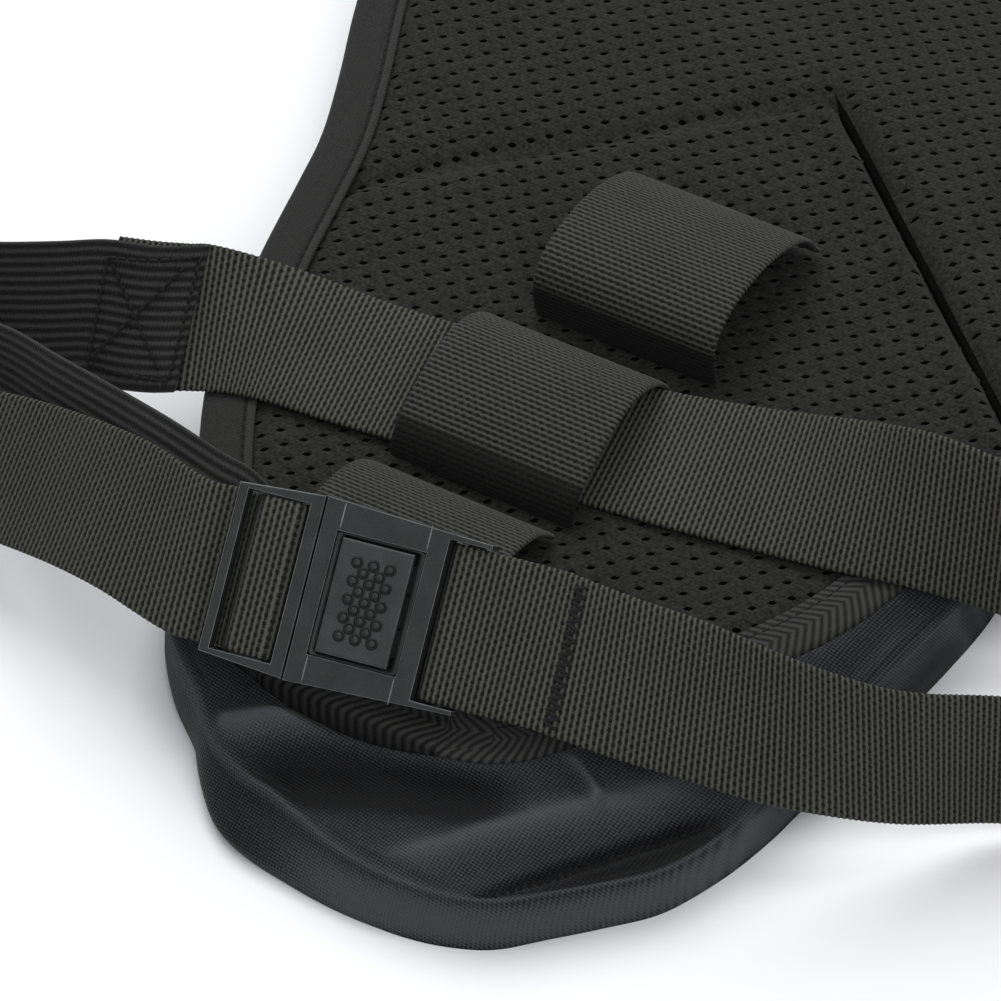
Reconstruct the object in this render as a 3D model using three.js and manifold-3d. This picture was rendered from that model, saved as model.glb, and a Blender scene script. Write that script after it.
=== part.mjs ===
// Safety harness vest, back side down on a table with its spacer-mesh lining up.
//
// Units are millimetres, +Z is up, +Y runs along the spine towards the neck and +X is to the right.
// The origin lies on the flat face panel of the lower pouch, which the vest rests on.
//
// Soft pieces (panel layers, webbing, pads, pouch) are plain closed slabs between two surfaces.
// The buckle is made of extruded outlines, cut and joined as solids.

import * as THREE from 'three';
import { mergeVertices } from 'three/addons/utils/BufferGeometryUtils.js';
import Module from 'manifold-3d';

const wasm = await Module();
wasm.setup();

// ---------------------------------------------------------------- driving dimensions

const GAP = 0.3; // clearance between pieces that touch

const PANEL_BOTTOM = -56; // hem of the back panel
const PANEL_TOP = 332; // top of the back panel beside the neck
const NECK_DIP = 22; // how far the neckline dips below the panel top
const NECK_REACH = 34; // half width over which it dips
const BINDING_WIDTH = 2.2; // thickness of the edge binding in the plane of the panel

const MESH_PLANE = 25.3; // top of the mesh lining over the pouch
const PANEL_FALL = 15.4; // how far the panel comes down towards the neck
const FALL_START = 150;
const FALL_END = 322;
const LINER_THICKNESS = 1.5;
const FOAM_THICKNESS = 6;
const SHELL_THICKNESS = 1.5;
const PANEL_ROWS = 26; // stations from hem to neck
const PANEL_COLUMNS = 15; // stations across

const BELT_WIDTH = 38;
const BELT_THICKNESS = 1.8;
const LOOP_WIDTH = 52;
const LOOP_THICKNESS = 1.6;
const STRAP_WIDTH = 25; // shoulder strap webbing
const STRAP_THICKNESS = 1.5;
const PAD_THICKNESS = 9;

const BUCKLE_ORIGIN = new THREE.Vector3(-16, -46.5, 52); // parting line, on the top face
const BUCKLE_TILT = { roll: 43.8, pitch: 3.7, yaw: 13.7 }; // degrees
const BUCKLE_DEPTH = 11.4;
const BUCKLE_HALF_WIDTH = 22.4; // at the parting line
const HOUSING_LENGTH = 31; // parting line to the webbing slot
const CHEEK_LENGTH = 41.3; // parting line to the end of the cheeks
const CHEEK_GAP = 19.5; // half the clear width between the cheeks
const WEBBING_BAR = { x: 37, z: -5.4, radius: 2.1 };
const WINDOW = { x: [4.4, 26.4], halfWidth: 15.1 }; // opening round the push button
const BUTTON = { x: 15.1, length: 17.6, width: 27.7, proud: 1 };
const TONGUE_LENGTH = 25.5;
const FRAME_LENGTH = 21.3;

const GUSSET_TOP = 13; // height of the pouch side wall
const POUCH_BULGE = 4; // rise of the pouch beyond the hem of the panel

// ---------------------------------------------------------------- materials

const fabric = (color, roughness = 0.92) =>
  new THREE.MeshStandardMaterial({ color, roughness, metalness: 0 });

const materials = {
  mesh: fabric(0x232422),
  foam: fabric(0x4a4a48),
  shell: fabric(0x26282b, 0.85),
  binding: fabric(0x2c2c2a),
  webbing: fabric(0x32332f),
  elastic: fabric(0x2a2b29),
  pouch: fabric(0x26282b, 0.8),
  filling: fabric(0xb8b6ae),
  plastic: new THREE.MeshStandardMaterial({ color: 0x2b2c2c, roughness: 0.5, metalness: 0 }),
  steel: new THREE.MeshStandardMaterial({ color: 0x9a9c9e, roughness: 0.35, metalness: 1 }),
};

// ---------------------------------------------------------------- small helpers

const vec = (x, y, z) => new THREE.Vector3(x, y, z);
const radians = THREE.MathUtils.degToRad;
const lerp = THREE.MathUtils.lerp;
const smooth = THREE.MathUtils.smoothstep;

const spread = (low, high, count) =>
  Array.from({ length: count }, (_, i) => lerp(low, high, i / (count - 1)));

function signedVolume(positions, index) {
  const point = (i) => new THREE.Vector3().fromArray(positions, 3 * i);
  let sum = 0;
  for (let i = 0; i < index.length; i += 3) {
    const [a, b, c] = [point(index[i]), point(index[i + 1]), point(index[i + 2])];
    sum += a.dot(b.cross(c)) / 6;
  }
  return sum;
}

// A closed body between two grids of points, top[i][j] and bottom[i][j].
// A ring is a slab whose last row joins its first.
function slab(top, bottom, { ring = false } = {}) {
  const rows = top.length;
  const columns = top[0].length;
  const positions = [];
  for (const grid of [top, bottom]) {
    for (const row of grid) {
      for (const p of row) positions.push(p.x, p.y, p.z);
    }
  }
  const at = (side, i, j) => side * rows * columns + (i % rows) * columns + j;
  const index = [];
  const quad = (a, b, c, d) => index.push(a, b, c, a, c, d);
  const lastRow = ring ? rows : rows - 1;
  for (let i = 0; i < lastRow; i += 1) {
    for (let j = 0; j < columns - 1; j += 1) {
      quad(at(0, i, j), at(0, i, j + 1), at(0, i + 1, j + 1), at(0, i + 1, j));
      quad(at(1, i, j), at(1, i + 1, j), at(1, i + 1, j + 1), at(1, i, j + 1));
    }
    quad(at(0, i, 0), at(0, i + 1, 0), at(1, i + 1, 0), at(1, i, 0));
    quad(at(0, i, columns - 1), at(1, i, columns - 1), at(1, i + 1, columns - 1), at(0, i + 1, columns - 1));
  }
  for (let j = 0; !ring && j < columns - 1; j += 1) {
    quad(at(0, 0, j), at(1, 0, j), at(1, 0, j + 1), at(0, 0, j + 1));
    quad(at(0, rows - 1, j), at(0, rows - 1, j + 1), at(1, rows - 1, j + 1), at(1, rows - 1, j));
  }
  if (signedVolume(positions, index) < 0) index.reverse();
  const geometry = new THREE.BufferGeometry();
  geometry.setAttribute('position', new THREE.Float32BufferAttribute(positions, 3));
  geometry.setIndex(index);
  return geometry;
}

// A flat strap between two edge curves that are sampled side by side.
function strap(low, high, steps, thickness) {
  const lowCurve = new THREE.CatmullRomCurve3(low, false, 'centripetal');
  const highCurve = new THREE.CatmullRomCurve3(high, false, 'centripetal');
  const stations = spread(0, 1, steps + 1).map((t) => [lowCurve.getPoint(t), highCurve.getPoint(t)]);
  const middle = stations.map(([a, b]) => a.clone().lerp(b, 0.5));
  const top = [];
  const bottom = [];
  stations.forEach(([a, b], i) => {
    const ahead = middle[Math.min(i + 1, steps)].clone().sub(middle[Math.max(i - 1, 0)]);
    const lift = ahead.cross(b.clone().sub(a)).setLength(thickness / 2);
    top.push([a.clone().add(lift), b.clone().add(lift)]);
    bottom.push([a.clone().sub(lift), b.clone().sub(lift)]);
  });
  return slab(top, bottom);
}

// Edge curves of a strap from stations [x, y, z, lean] along its lower edge.
// The lean is measured from flat, on the left of the strap's heading, round to flat on its right.
function leaningEdges(stations, width = BELT_WIDTH) {
  const low = stations.map(([x, y, z]) => vec(x, y, z));
  const high = stations.map(([, , , lean], i) => {
    const heading = low[Math.min(i + 1, low.length - 1)].clone().sub(low[Math.max(i - 1, 0)]);
    const left = vec(-heading.y, heading.x, 0).normalize();
    const across = left.multiplyScalar(Math.cos(radians(lean))).add(vec(0, 0, Math.sin(radians(lean))));
    return low[i].clone().addScaledVector(across, width);
  });
  return { low, high };
}

function toSolid(geometry) {
  const plain = geometry.clone();
  plain.deleteAttribute('normal');
  plain.deleteAttribute('uv');
  const merged = mergeVertices(plain, 1e-4);
  const triVerts = Uint32Array.from(merged.index.array);
  const vertProperties = Float32Array.from(merged.attributes.position.array);
  return new wasm.Manifold(new wasm.Mesh({ numProp: 3, vertProperties, triVerts }));
}

function toGeometry(solid) {
  const mesh = solid.getMesh();
  const geometry = new THREE.BufferGeometry();
  geometry.setAttribute('position', new THREE.BufferAttribute(mesh.vertProperties, 3));
  geometry.setIndex(new THREE.BufferAttribute(mesh.triVerts, 1));
  return geometry;
}

function block([x0, x1], [y0, y1], [z0, z1]) {
  const box = new THREE.BoxGeometry(x1 - x0, y1 - y0, z1 - z0);
  return toSolid(box.translate((x0 + x1) / 2, (y0 + y1) / 2, (z0 + z1) / 2));
}

function plate(points, [z0, z1], bevel = 0) {
  const shape = new THREE.Shape(points.map(([x, y]) => new THREE.Vector2(x, y)));
  const depth = z1 - z0 - 2 * bevel;
  const options = { depth, bevelEnabled: bevel > 0, bevelSize: bevel, bevelOffset: -bevel };
  const geometry = new THREE.ExtrudeGeometry(shape, { ...options, bevelThickness: bevel, bevelSegments: 2 });
  return toSolid(geometry.translate(0, 0, z0 + bevel));
}

function barAlongY(x, z, radius, halfLength) {
  const bar = new THREE.CylinderGeometry(radius, radius, 2 * halfLength, 16);
  return toSolid(bar.translate(x, 0, z));
}

function finish(name, geometry, material) {
  const mesh = new THREE.Mesh(geometry, material);
  mesh.name = name;
  return mesh;
}

// ---------------------------------------------------------------- back panel

// Half width of the panel, as points (y, half width) from the hem to the neck.
const halfWidthCurve = new THREE.SplineCurve(
  [
    [PANEL_BOTTOM, 25], [-52, 37], [-44, 47], [-28, 58], [-8, 71], [15, 84], [32, 91.5], [50, 96],
    [72, 100], [100, 104], [120, 109], [142, 117], [169, 128], [200, 139], [235, 148], [265, 152],
    [290, 149], [310, 139], [324, 122], [PANEL_TOP, 100],
  ].map(([y, half]) => new THREE.Vector2(y, half)),
);

const meshHeight = (y) => MESH_PLANE - PANEL_FALL * smooth(y, FALL_START, FALL_END);

const neckDip = (x, y) => NECK_DIP * Math.exp(-((x / NECK_REACH) ** 4)) * smooth(y, 230, PANEL_TOP);

// A point of the right-hand outline, t from hem to neck, moved inwards by the inset.
function outlinePoint(t, inset) {
  const p = halfWidthCurve.getPoint(t);
  const along = halfWidthCurve.getTangent(t);
  return { x: p.y - inset * along.x, y: p.x + inset * along.y };
}

// A layer of the panel inside its binding, from a depth below the mesh plane.
function panelLayer(depth, thickness) {
  const grid = (drop) =>
    spread(0, 1, PANEL_ROWS).map((t) => {
      const edge = outlinePoint(t, BINDING_WIDTH + GAP);
      return spread(-edge.x, edge.x, PANEL_COLUMNS).map((x) => {
        const y = edge.y - neckDip(x, edge.y);
        return vec(x, y, meshHeight(edge.y) - drop);
      });
    });
  return slab(grid(depth), grid(depth + thickness));
}

const PANEL_THICKNESS = LINER_THICKNESS + FOAM_THICKNESS + SHELL_THICKNESS + 2 * GAP;

function sideBinding(side) {
  const grid = (drop) =>
    spread(0, 1, PANEL_ROWS).map((t) =>
      [0, BINDING_WIDTH].map((inset) => {
        const p = outlinePoint(t, inset);
        return vec(side * p.x, p.y, meshHeight(p.y) - drop);
      }),
    );
  return slab(grid(0), grid(PANEL_THICKNESS));
}

function hemTape() {
  const end = 23.8;
  const grid = (drop) =>
    spread(-end, end, 8).map((x) =>
      [0, BINDING_WIDTH - 0.2].map((inset) => vec(x, PANEL_BOTTOM + inset, MESH_PLANE - drop)),
    );
  return slab(grid(0), grid(PANEL_THICKNESS));
}

function neckBinding() {
  const end = 98.5;
  const grid = (drop) =>
    spread(-end, end, PANEL_COLUMNS).map((x) =>
      [0, BINDING_WIDTH - 0.2].map((inset) => {
        const y = PANEL_TOP - inset - neckDip(x, PANEL_TOP);
        return vec(x, y, meshHeight(PANEL_TOP) - drop);
      }),
    );
  return slab(grid(0), grid(PANEL_THICKNESS));
}

const linerDepth = 0;
const foamDepth = linerDepth + LINER_THICKNESS + GAP;
const shellDepth = foamDepth + FOAM_THICKNESS + GAP;

const backPanel = new THREE.Group();
backPanel.add(
  finish('mesh_liner', panelLayer(linerDepth, LINER_THICKNESS), materials.mesh),
  finish('back_foam', panelLayer(foamDepth, FOAM_THICKNESS), materials.foam),
  finish('outer_shell', panelLayer(shellDepth, SHELL_THICKNESS), materials.shell),
  finish('edge_binding_left', sideBinding(-1), materials.binding),
  finish('edge_binding_right', sideBinding(1), materials.binding),
  finish('hem_tape', hemTape(), materials.binding),
  finish('neck_binding', neckBinding(), materials.binding),
);

// ---------------------------------------------------------------- belt loops on the spine

// Each arch is a list of points (y, z) of the middle of the webbing, from hem side to neck side.
const LOOPS = {
  belt_loop_bottom: {
    x: -14,
    arch: [
      [-38, 26.6], [-35, 28.5], [-32, 33], [-24, 37.5], [-10, 39],
      [4, 37.5], [13, 33], [17.5, 28.5], [19, 26.8],
    ],
  },
  belt_loop_middle: {
    x: -9,
    arch: [
      [21, 26.8], [22.8, 29], [26, 34.5], [34, 41], [46, 44.3],
      [57, 44.6], [66, 42.6], [72, 38], [75, 31.5], [76, 27.4],
    ],
  },
  belt_loop_top: {
    x: -3,
    arch: [
      [78.4, 27.4], [80.5, 31], [84, 36.5], [90, 41.5], [99, 44.2],
      [109, 43.8], [119, 40], [131, 34], [140, 28.5], [146, 26.8],
    ],
  },
};

function beltLoop({ x, arch }) {
  const edge = (side) => arch.map(([y, z]) => vec(x + (side * LOOP_WIDTH) / 2, y, z));
  return strap(edge(-1), edge(1), 28, LOOP_THICKNESS);
}

const beltLoops = new THREE.Group();
for (const [name, loop] of Object.entries(LOOPS)) {
  beltLoops.add(finish(name, beltLoop(loop), materials.webbing));
}

// ---------------------------------------------------------------- buckle

// The buckle's own frame: x along the belt from the parting line into the housing, y across the
// belt, z out of the top face.
const buckle = new THREE.Group();
buckle.position.copy(BUCKLE_ORIGIN);
buckle.rotation.set(
  radians(BUCKLE_TILT.roll), radians(BUCKLE_TILT.pitch), radians(BUCKLE_TILT.yaw), 'ZYX',
);
buckle.updateMatrixWorld(true);

// The two edges of a belt whose middle runs through points (x, z) of the buckle's frame, shifted in y.
function buckleEdges(points, shift = 0) {
  const edge = (y) => points.map(([x, z]) => vec(x, y + shift, z).applyMatrix4(buckle.matrixWorld));
  return { low: edge(-BELT_WIDTH / 2), high: edge(BELT_WIDTH / 2) };
}

const SHELL_SPLIT = -5.5; // height at which the two housing shells meet
const CAVITY = { x: [3, 29], halfWidth: 14.4, floor: -10.3, ceiling: -2.2 };
const MOUTH = { halfWidth: 11.5, z: [-7, -4.4] };
const HOUSING_START = 0.3;

const housingOutline = [
  [HOUSING_START, -BUCKLE_HALF_WIDTH], [HOUSING_LENGTH, -21], [CHEEK_LENGTH, -20.6],
  [CHEEK_LENGTH, -CHEEK_GAP], [HOUSING_LENGTH, -CHEEK_GAP], [HOUSING_LENGTH, CHEEK_GAP],
  [CHEEK_LENGTH, CHEEK_GAP], [CHEEK_LENGTH, 20.6], [HOUSING_LENGTH, 21],
  [HOUSING_START, BUCKLE_HALF_WIDTH],
];

function housingShell(z) {
  const cavity = block(CAVITY.x, [-CAVITY.halfWidth, CAVITY.halfWidth], [CAVITY.floor, CAVITY.ceiling]);
  const mouth = block([-1, 4], [-MOUTH.halfWidth, MOUTH.halfWidth], MOUTH.z);
  return plate(housingOutline, z, 0.3).subtract(cavity).subtract(mouth);
}

function housingTop() {
  const window = block(WINDOW.x, [-WINDOW.halfWidth, WINDOW.halfWidth], [CAVITY.ceiling - 1, 1]);
  const barSeat = barAlongY(WEBBING_BAR.x, WEBBING_BAR.z, WEBBING_BAR.radius + GAP, 20.1);
  return toGeometry(housingShell([SHELL_SPLIT + GAP / 2, 0]).subtract(window).subtract(barSeat));
}

function housingBottom() {
  const bar = barAlongY(WEBBING_BAR.x, WEBBING_BAR.z, WEBBING_BAR.radius, 19.8);
  return toGeometry(housingShell([-BUCKLE_DEPTH, SHELL_SPLIT - GAP / 2]).add(bar));
}

// The plate that is pressed, with two legs past the tongue to a foot that works its catch.
function pushButton() {
  const halfLength = BUTTON.length / 2;
  const halfWidth = BUTTON.width / 2;
  const corners = [[-1, -1], [1, -1], [1, 1], [-1, 1]];
  const face = corners.map(([i, j]) => [BUTTON.x + i * halfLength, j * halfWidth]);
  const cap = plate(face, [-2, BUTTON.proud], 0.5);
  const stem = [12, 18];
  const foot = block(stem, [-13.4, 13.4], [-8, -7.2]);
  const legs = [[-13.4, -12], [12, 13.4]].map((y) => block(stem, y, [-7.6, -1.5]));
  const tooth = block(stem, [-3.5, 3.5], [-7.6, -5.2]);
  return toGeometry(wasm.Manifold.union([cap, foot, tooth, ...legs]));
}

function buttonSpring() {
  const bow = [[6, -9.8], [10, -9.3], [BUTTON.x, -8.5], [20, -9.3], [24, -9.8]];
  const edge = (y) => bow.map(([x, z]) => vec(x, y, z));
  return strap(edge(-4), edge(4), 12, 0.3);
}

// The tongue: a ladder-lock frame for the webbing and two prongs that enter the housing.
function tongue() {
  const outline = [[-FRAME_LENGTH, -20.6], [-0.3, -22.3], [-0.3, 22.3], [-FRAME_LENGTH, 20.6]];
  const clear = [-CHEEK_GAP, CHEEK_GAP];
  const cuts = [
    block([-18.9, -14.2], clear, [-9, 1]),
    block([-6.3, -3.5], clear, [-9, 1]),
    block([-14.3, -6.2], clear, [-3.2, 1]),
    block([-14.3, -6.2], clear, [-9, -6]),
  ];
  const prongs = [[-11, -4.5], [4.5, 11]].map((y) => block([-2, TONGUE_LENGTH], y, [-6.6, -4.9]));
  const frame = plate(outline, [-7.5, -1], 0.5);
  return toGeometry(cuts.reduce((solid, cut) => solid.subtract(cut), frame).add(prongs[0]).add(prongs[1]));
}

buckle.add(
  finish('housing_top', housingTop(), materials.plastic),
  finish('housing_bottom', housingBottom(), materials.plastic),
  finish('push_button', pushButton(), materials.plastic),
  finish('button_spring', buttonSpring(), materials.steel),
  finish('tongue', tongue(), materials.plastic),
);

// ---------------------------------------------------------------- waist belt

const joinEdges = (...parts) => ({
  low: parts.flatMap((part) => part.low),
  high: parts.flatMap((part) => part.high),
});

// From its sewn left end through the middle loop, round the right side and back to the buckle,
// where it is folded round the bar of the housing and tacked to itself.
function waistBelt() {
  const round = leaningEdges([
    [-118, 15, 19.5, 62], [-108, 15, 21.5, 57], [-98, 15.5, 24, 47], [-90, 18, 26.4, 34],
    [-82, 21.5, 27, 24], [-72, 24, 27, 17], [-55, 26, 26.8, 13], [-36, 28.5, 26.6, 12],
    [-10, 31, 26.6, 12], [17, 33, 26.6, 12], [37, 35.5, 26.8, 16], [56, 38.5, 27, 22],
    [78, 42, 27.4, 34], [98, 47.5, 26.4, 50], [118, 55, 21, 64], [150, 65, 11, 78],
    [180, 71, 4, 86], [203, 70, 2, 90], [215, 58, 2, 90], [208, 42, 2, 92], [186, 27, 2.5, 95],
    [160, 17, 3.5, 97], [143, 8, 5, 99], [125, -10, 12, 103], [112, -21, 18, 110],
    [98, -29, 22.5, 118], [82, -35, 27, 126], [64, -40.5, 30.5, 133],
  ]);
  const fold = buckleEdges([
    [62, -2.6], [52, -2.4], [45, -2.1], [40, -2], [WEBBING_BAR.x, -2.05], [34.6, -3.1], [33.6, -5.4],
    [34.6, -7.8], [WEBBING_BAR.x, -8.8], [42, -8.7], [49, -7.4], [56, -6], [66, -5.7],
  ]);
  const edges = joinEdges(round, fold);
  return strap(edges.low, edges.high, 120, BELT_THICKNESS);
}

// Ribbed elastic from the sewn end of the belt round the left side to the underside of the tongue.
function sideElastic() {
  const round = leaningEdges([
    [-92, 15.2, 27.6, 141], [-98, 13.9, 25.6, 133], [-108, 13.1, 22.8, 123], [-118, 13, 20.6, 118],
    [-130, 11, 16.5, 115], [-148, 9, 11, 111], [-170, 9, 5, 102], [-189, 6, 2, 93],
    [-198, -4, 2, 90], [-191, -13, 2.5, 88], [-172, -16.5, 6, 84], [-150, -14.5, 11, 79],
    [-129, -17, 16.5, 75], [-109, -27, 22.8, 68], [-84, -38.5, 28, 60], [-63, -45.5, 31.3, 54],
  ]);
  const edges = joinEdges(round, buckleEdges([[-30, -15], [-22, -14], [-12, -13.9]], 4));
  return strap(edges.low, edges.high, 80, LOOP_THICKNESS);
}

// The adjustable webbing: a free tail, threaded over the centre bar of the tongue and back under.
function adjusterStrap() {
  const tail = leaningEdges([
    [-186, -33, 2, 85], [-168, -35, 3, 82], [-148, -38.5, 7.5, 72], [-130, -42, 13.5, 62],
    [-113, -45.5, 20, 56], [-102, -48, 24, 53], [-85, -52, 30, 51], [-69, -55.5, 33.8, 49],
    [-54, -57.5, 35, 46],
  ]);
  const thread = buckleEdges([
    [-30, -9.8], [-24, -9.6], [-20.5, -9.5], [-18.2, -8.9], [-17, -7.4], [-16.5, -5.4],
    [-15.9, -3.4], [-14.5, -2.2], [-12, -1.9], [-8.4, -1.85], [-6.1, -2],
    [-4.95, -3.3], [-4.8, -5.6], [-5.3, -7.9], [-7.4, -9.4],
    [-11, -10.6], [-16, -11.5], [-25, -11.6],
  ]);
  const edges = joinEdges(tail, thread);
  return strap(edges.low, edges.high, 110, BELT_THICKNESS);
}

const waist = new THREE.Group();
waist.add(
  finish('waist_belt', waistBelt(), materials.webbing),
  finish('side_elastic', sideElastic(), materials.elastic),
  finish('adjuster_strap', adjusterStrap(), materials.webbing),
);

// ---------------------------------------------------------------- pouch

// Rows (y, left x, right x) of the pouch's outline, from its bottom edge towards the neck.
const pouchRows = new THREE.CatmullRomCurve3(
  [
    [-92, 4, 38], [-90, -8, 47], [-85, -18, 58], [-76, -27, 67], [-66, -37, 77], [-54, -48, 87],
    [-33, -62, 95], [-10, -72, 100], [20, -79, 106], [50, -81, 111], [75, -80, 111], [90, -76, 107],
    [97, -66, 98], [100, -50, 82],
  ].map(([y, left, right]) => vec(y, left, right)),
);

// One row of the pouch, moved inwards from its outline.
function pouchRow(t, inset) {
  const row = pouchRows.getPoint(t);
  const along = pouchRows.getTangent(t);
  const lean = (slope) => inset / Math.hypot(along.x, slope);
  const left = vec(row.y + lean(along.y) * along.x, row.x - lean(along.y) * along.y, 0);
  const right = vec(row.z - lean(along.z) * along.x, row.x + lean(along.z) * along.z, 0);
  return { left, right };
}

const panelEdge = spread(0, 1, 60).map((t) => outlinePoint(t, 0));

// How far the top of the pouch swells where the panel above does not hold it down.
function pouchSwell(x, y) {
  const inside = panelEdge.some((p, i) => i > 0 && Math.abs(x) < p.x && y > panelEdge[i - 1].y);
  const distance = Math.min(
    ...panelEdge.map((p) => Math.hypot(Math.abs(x) - p.x, y - p.y)),
    Math.abs(x) < panelEdge[0].x ? Math.abs(y - PANEL_BOTTOM) : Infinity,
  );
  return inside ? 0 : POUCH_BULGE * smooth(distance, 6, 22);
}

function pouchSlab(bottom, top, inset, columns = 9, swell = () => 0) {
  const grid = (z) =>
    spread(0, 1, 18).map((t) => {
      const { left, right } = pouchRow(t, inset);
      const edge = Math.min(1, 6 * t);
      return spread(0, 1, columns).map((u) => {
        const p = left.clone().lerp(right, u);
        const rise = swell(p.x, p.y) * Math.min(1, 8 * u, 8 * (1 - u)) * edge;
        return p.setZ(z + rise);
      });
    });
  return slab(grid(top), grid(bottom));
}

// The pouch's outline as one closed loop of points.
function pouchLoop(inset) {
  const rows = spread(0, 1, 22).map((t) => pouchRow(t, inset));
  return [...rows.map(({ right }) => right), ...rows.reverse().map(({ left }) => left)];
}

function pouchGusset() {
  const levels = spread(0, 1, 4);
  const skin = (inset) =>
    pouchLoop(inset).map((p, i, loop) => {
      const across = loop[(i + 1) % loop.length].clone().sub(loop.at(i - 1)).normalize();
      return levels.map((level) => {
        const belly = 1.6 * Math.sin(Math.PI * level);
        return vec(p.x + belly * across.y, p.y - belly * across.x, lerp(2.9, GUSSET_TOP - 0.8, level));
      });
    });
  return slab(skin(2.4), skin(3.9), { ring: true });
}

function pouchPiping(z) {
  const rope = 2.2;
  const outer = pouchLoop(0);
  const inner = pouchLoop(rope);
  const grid = (height) => outer.map((p, i) => [p.clone().setZ(height), inner[i].clone().setZ(height)]);
  return slab(grid(z + rope), grid(z), { ring: true });
}

const pouch = new THREE.Group();
pouch.add(
  finish('pouch_face', pouchSlab(0, 2, 2.6), materials.pouch),
  finish('pouch_filling', pouchSlab(2.9, 12.6, 4.6), materials.filling),
  finish('pouch_back', pouchSlab(GUSSET_TOP, 14.8, 2.6, 21, pouchSwell), materials.pouch),
  finish('pouch_gusset', pouchGusset(), materials.pouch),
  finish('pouch_piping_lower', pouchPiping(0.3), materials.binding),
  finish('pouch_piping_upper', pouchPiping(GUSSET_TOP - 0.5), materials.binding),
);

// ---------------------------------------------------------------- shoulder straps and handle

const PAD_WIDTH = { root: 58, end: 40 };
const PAD_ROUTE = [
  [69, 333.5], [69, 372], [87, 408], [126, 427], [170, 418], [205, 390], [224, 350], [221, 316],
  [208, 295],
];

// Pad section: fraction of its half width, underside height and top height.
const PAD_SECTION = [
  [-1, 3.2, 5.8], [-0.8, 0.8, 8.4], [-0.3, 0.3, 9.3], [0.3, 0.3, 9.3], [0.8, 0.8, 8.4], [1, 3.2, 5.8],
];
const PAD_ROWS = 28;

function shoulderPad(side) {
  const points = PAD_ROUTE.map(([x, y]) => vec(side * x, y, 0));
  const route = new THREE.CatmullRomCurve3(points, false, 'centripetal');
  const grid = (level) =>
    spread(0, 1, PAD_ROWS).map((t) => {
      const middle = route.getPoint(t);
      const along = route.getTangent(t);
      const half = lerp(PAD_WIDTH.root, PAD_WIDTH.end, smooth(t, 0.5, 1)) / 2;
      return PAD_SECTION.map((section) => {
        const offset = section[0] * half;
        return vec(middle.x - along.y * offset, middle.y + along.x * offset, section[level]);
      });
    });
  return slab(grid(2), grid(1));
}

// The strap below each pad runs straight from the end of the pad to the side of the panel.
// Its frame: x along that line with the ladder lock at the origin, z up from the table.
const STRAP_LINE = { from: [205, 291], to: [151, 237], lock: 36 };

function strapFrame(side) {
  const { from, to, lock } = STRAP_LINE;
  const heading = new THREE.Vector2(to[0] - from[0], to[1] - from[1]).normalize();
  const frame = new THREE.Group();
  frame.position.set(side * (from[0] + lock * heading.x), from[1] + lock * heading.y, 0);
  frame.rotation.z = Math.atan2(heading.y, side * heading.x);
  return frame;
}

function flatStrap(points, steps) {
  const edge = (y) => points.map(([x, z]) => vec(x, y, z));
  return strap(edge(-STRAP_WIDTH / 2), edge(STRAP_WIDTH / 2), steps, STRAP_THICKNESS);
}

const strapRoute = [
  [-32, 4.8], [-22, 4.5], [-14, 4], [-9, 4], [-5.8, 4.9], [-4.4, 7], [-3.3, 8.8], [-1.05, 9.5],
  [0.9, 8.9], [1.8, 7], [2, 5], [3.2, 3.2], [6.5, 2.3], [14, 2.2], [34, 1.5], [64, 1.3],
];

// The tab wraps the lower bar of the ladder lock. Its sewn end is cut on the slant of the panel's side,
// so the two edges of the webbing end at different places.
const tabFold = [
  [14, 10.6], [8.6, 10.3], [6.2, 10.1], [4.6, 9], [4.2, 7], [5, 4.9], [7.6, 4], [14, 5.4],
];
const tabEnds = { near: [[25, 12], [21, 9.6]], far: [[61, 17], [57, 14.6]] };

function sideTab(side) {
  const edge = (y, [outer, inner]) => [outer, ...tabFold, inner].map(([x, z]) => vec(x, y, z));
  const half = (side * STRAP_WIDTH) / 2;
  return strap(edge(-half, tabEnds.near), edge(half, tabEnds.far), 50, STRAP_THICKNESS);
}

function ladderLock() {
  const outline = [[-10, -15.5], [9.4, -15.5], [9.4, 15.5], [-10, 15.5]];
  const clear = [-13, 13];
  const slots = [[-7.4, -2.6], [0.5, 5.9]].map((x) => block(x, clear, [4, 10]));
  const relief = block([-2.7, 0.6], clear, [8.2, 10]);
  const frame = plate(outline, [5.2, 8.8], 0.6);
  return toGeometry(frame.subtract(slots[0]).subtract(slots[1]).subtract(relief));
}

function shoulderStrap(side, label) {
  const lower = strapFrame(side);
  lower.add(
    finish(`strap_webbing_${label}`, flatStrap(strapRoute, 70), materials.webbing),
    finish(`ladder_lock_${label}`, ladderLock(), materials.plastic),
    finish(`side_tab_${label}`, sideTab(side), materials.webbing),
  );
  const whole = new THREE.Group();
  whole.add(finish(`shoulder_pad_${label}`, shoulderPad(side), materials.mesh), lower);
  return whole;
}

function grabHandle() {
  const { low, high } = leaningEdges(
    [[-30, 323.5, 3, 30], [-25, 332, 3.5, 34], [0, 339, 4, 40], [25, 332, 3.5, 34], [30, 323.5, 3, 30]],
    STRAP_WIDTH,
  );
  return strap(low, high, 30, STRAP_THICKNESS);
}

const shoulders = new THREE.Group();
shoulders.add(
  shoulderStrap(-1, 'left'),
  shoulderStrap(1, 'right'),
  finish('grab_handle', grabHandle(), materials.webbing),
);

// ---------------------------------------------------------------- the whole vest

const vest = new THREE.Group();
vest.add(backPanel, beltLoops, buckle, waist, pouch, shoulders);

export default vest;
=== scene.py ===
"""A safety harness vest on a table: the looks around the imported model.

Lengths in this script are millimetres until build() turns them into metres. The frame is the part's
own: +Z up, +Y towards the neck, the origin on the flat face of the lower pouch.
"""

import math

import bpy
import numpy as np
from mathutils import Matrix, Vector


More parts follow.
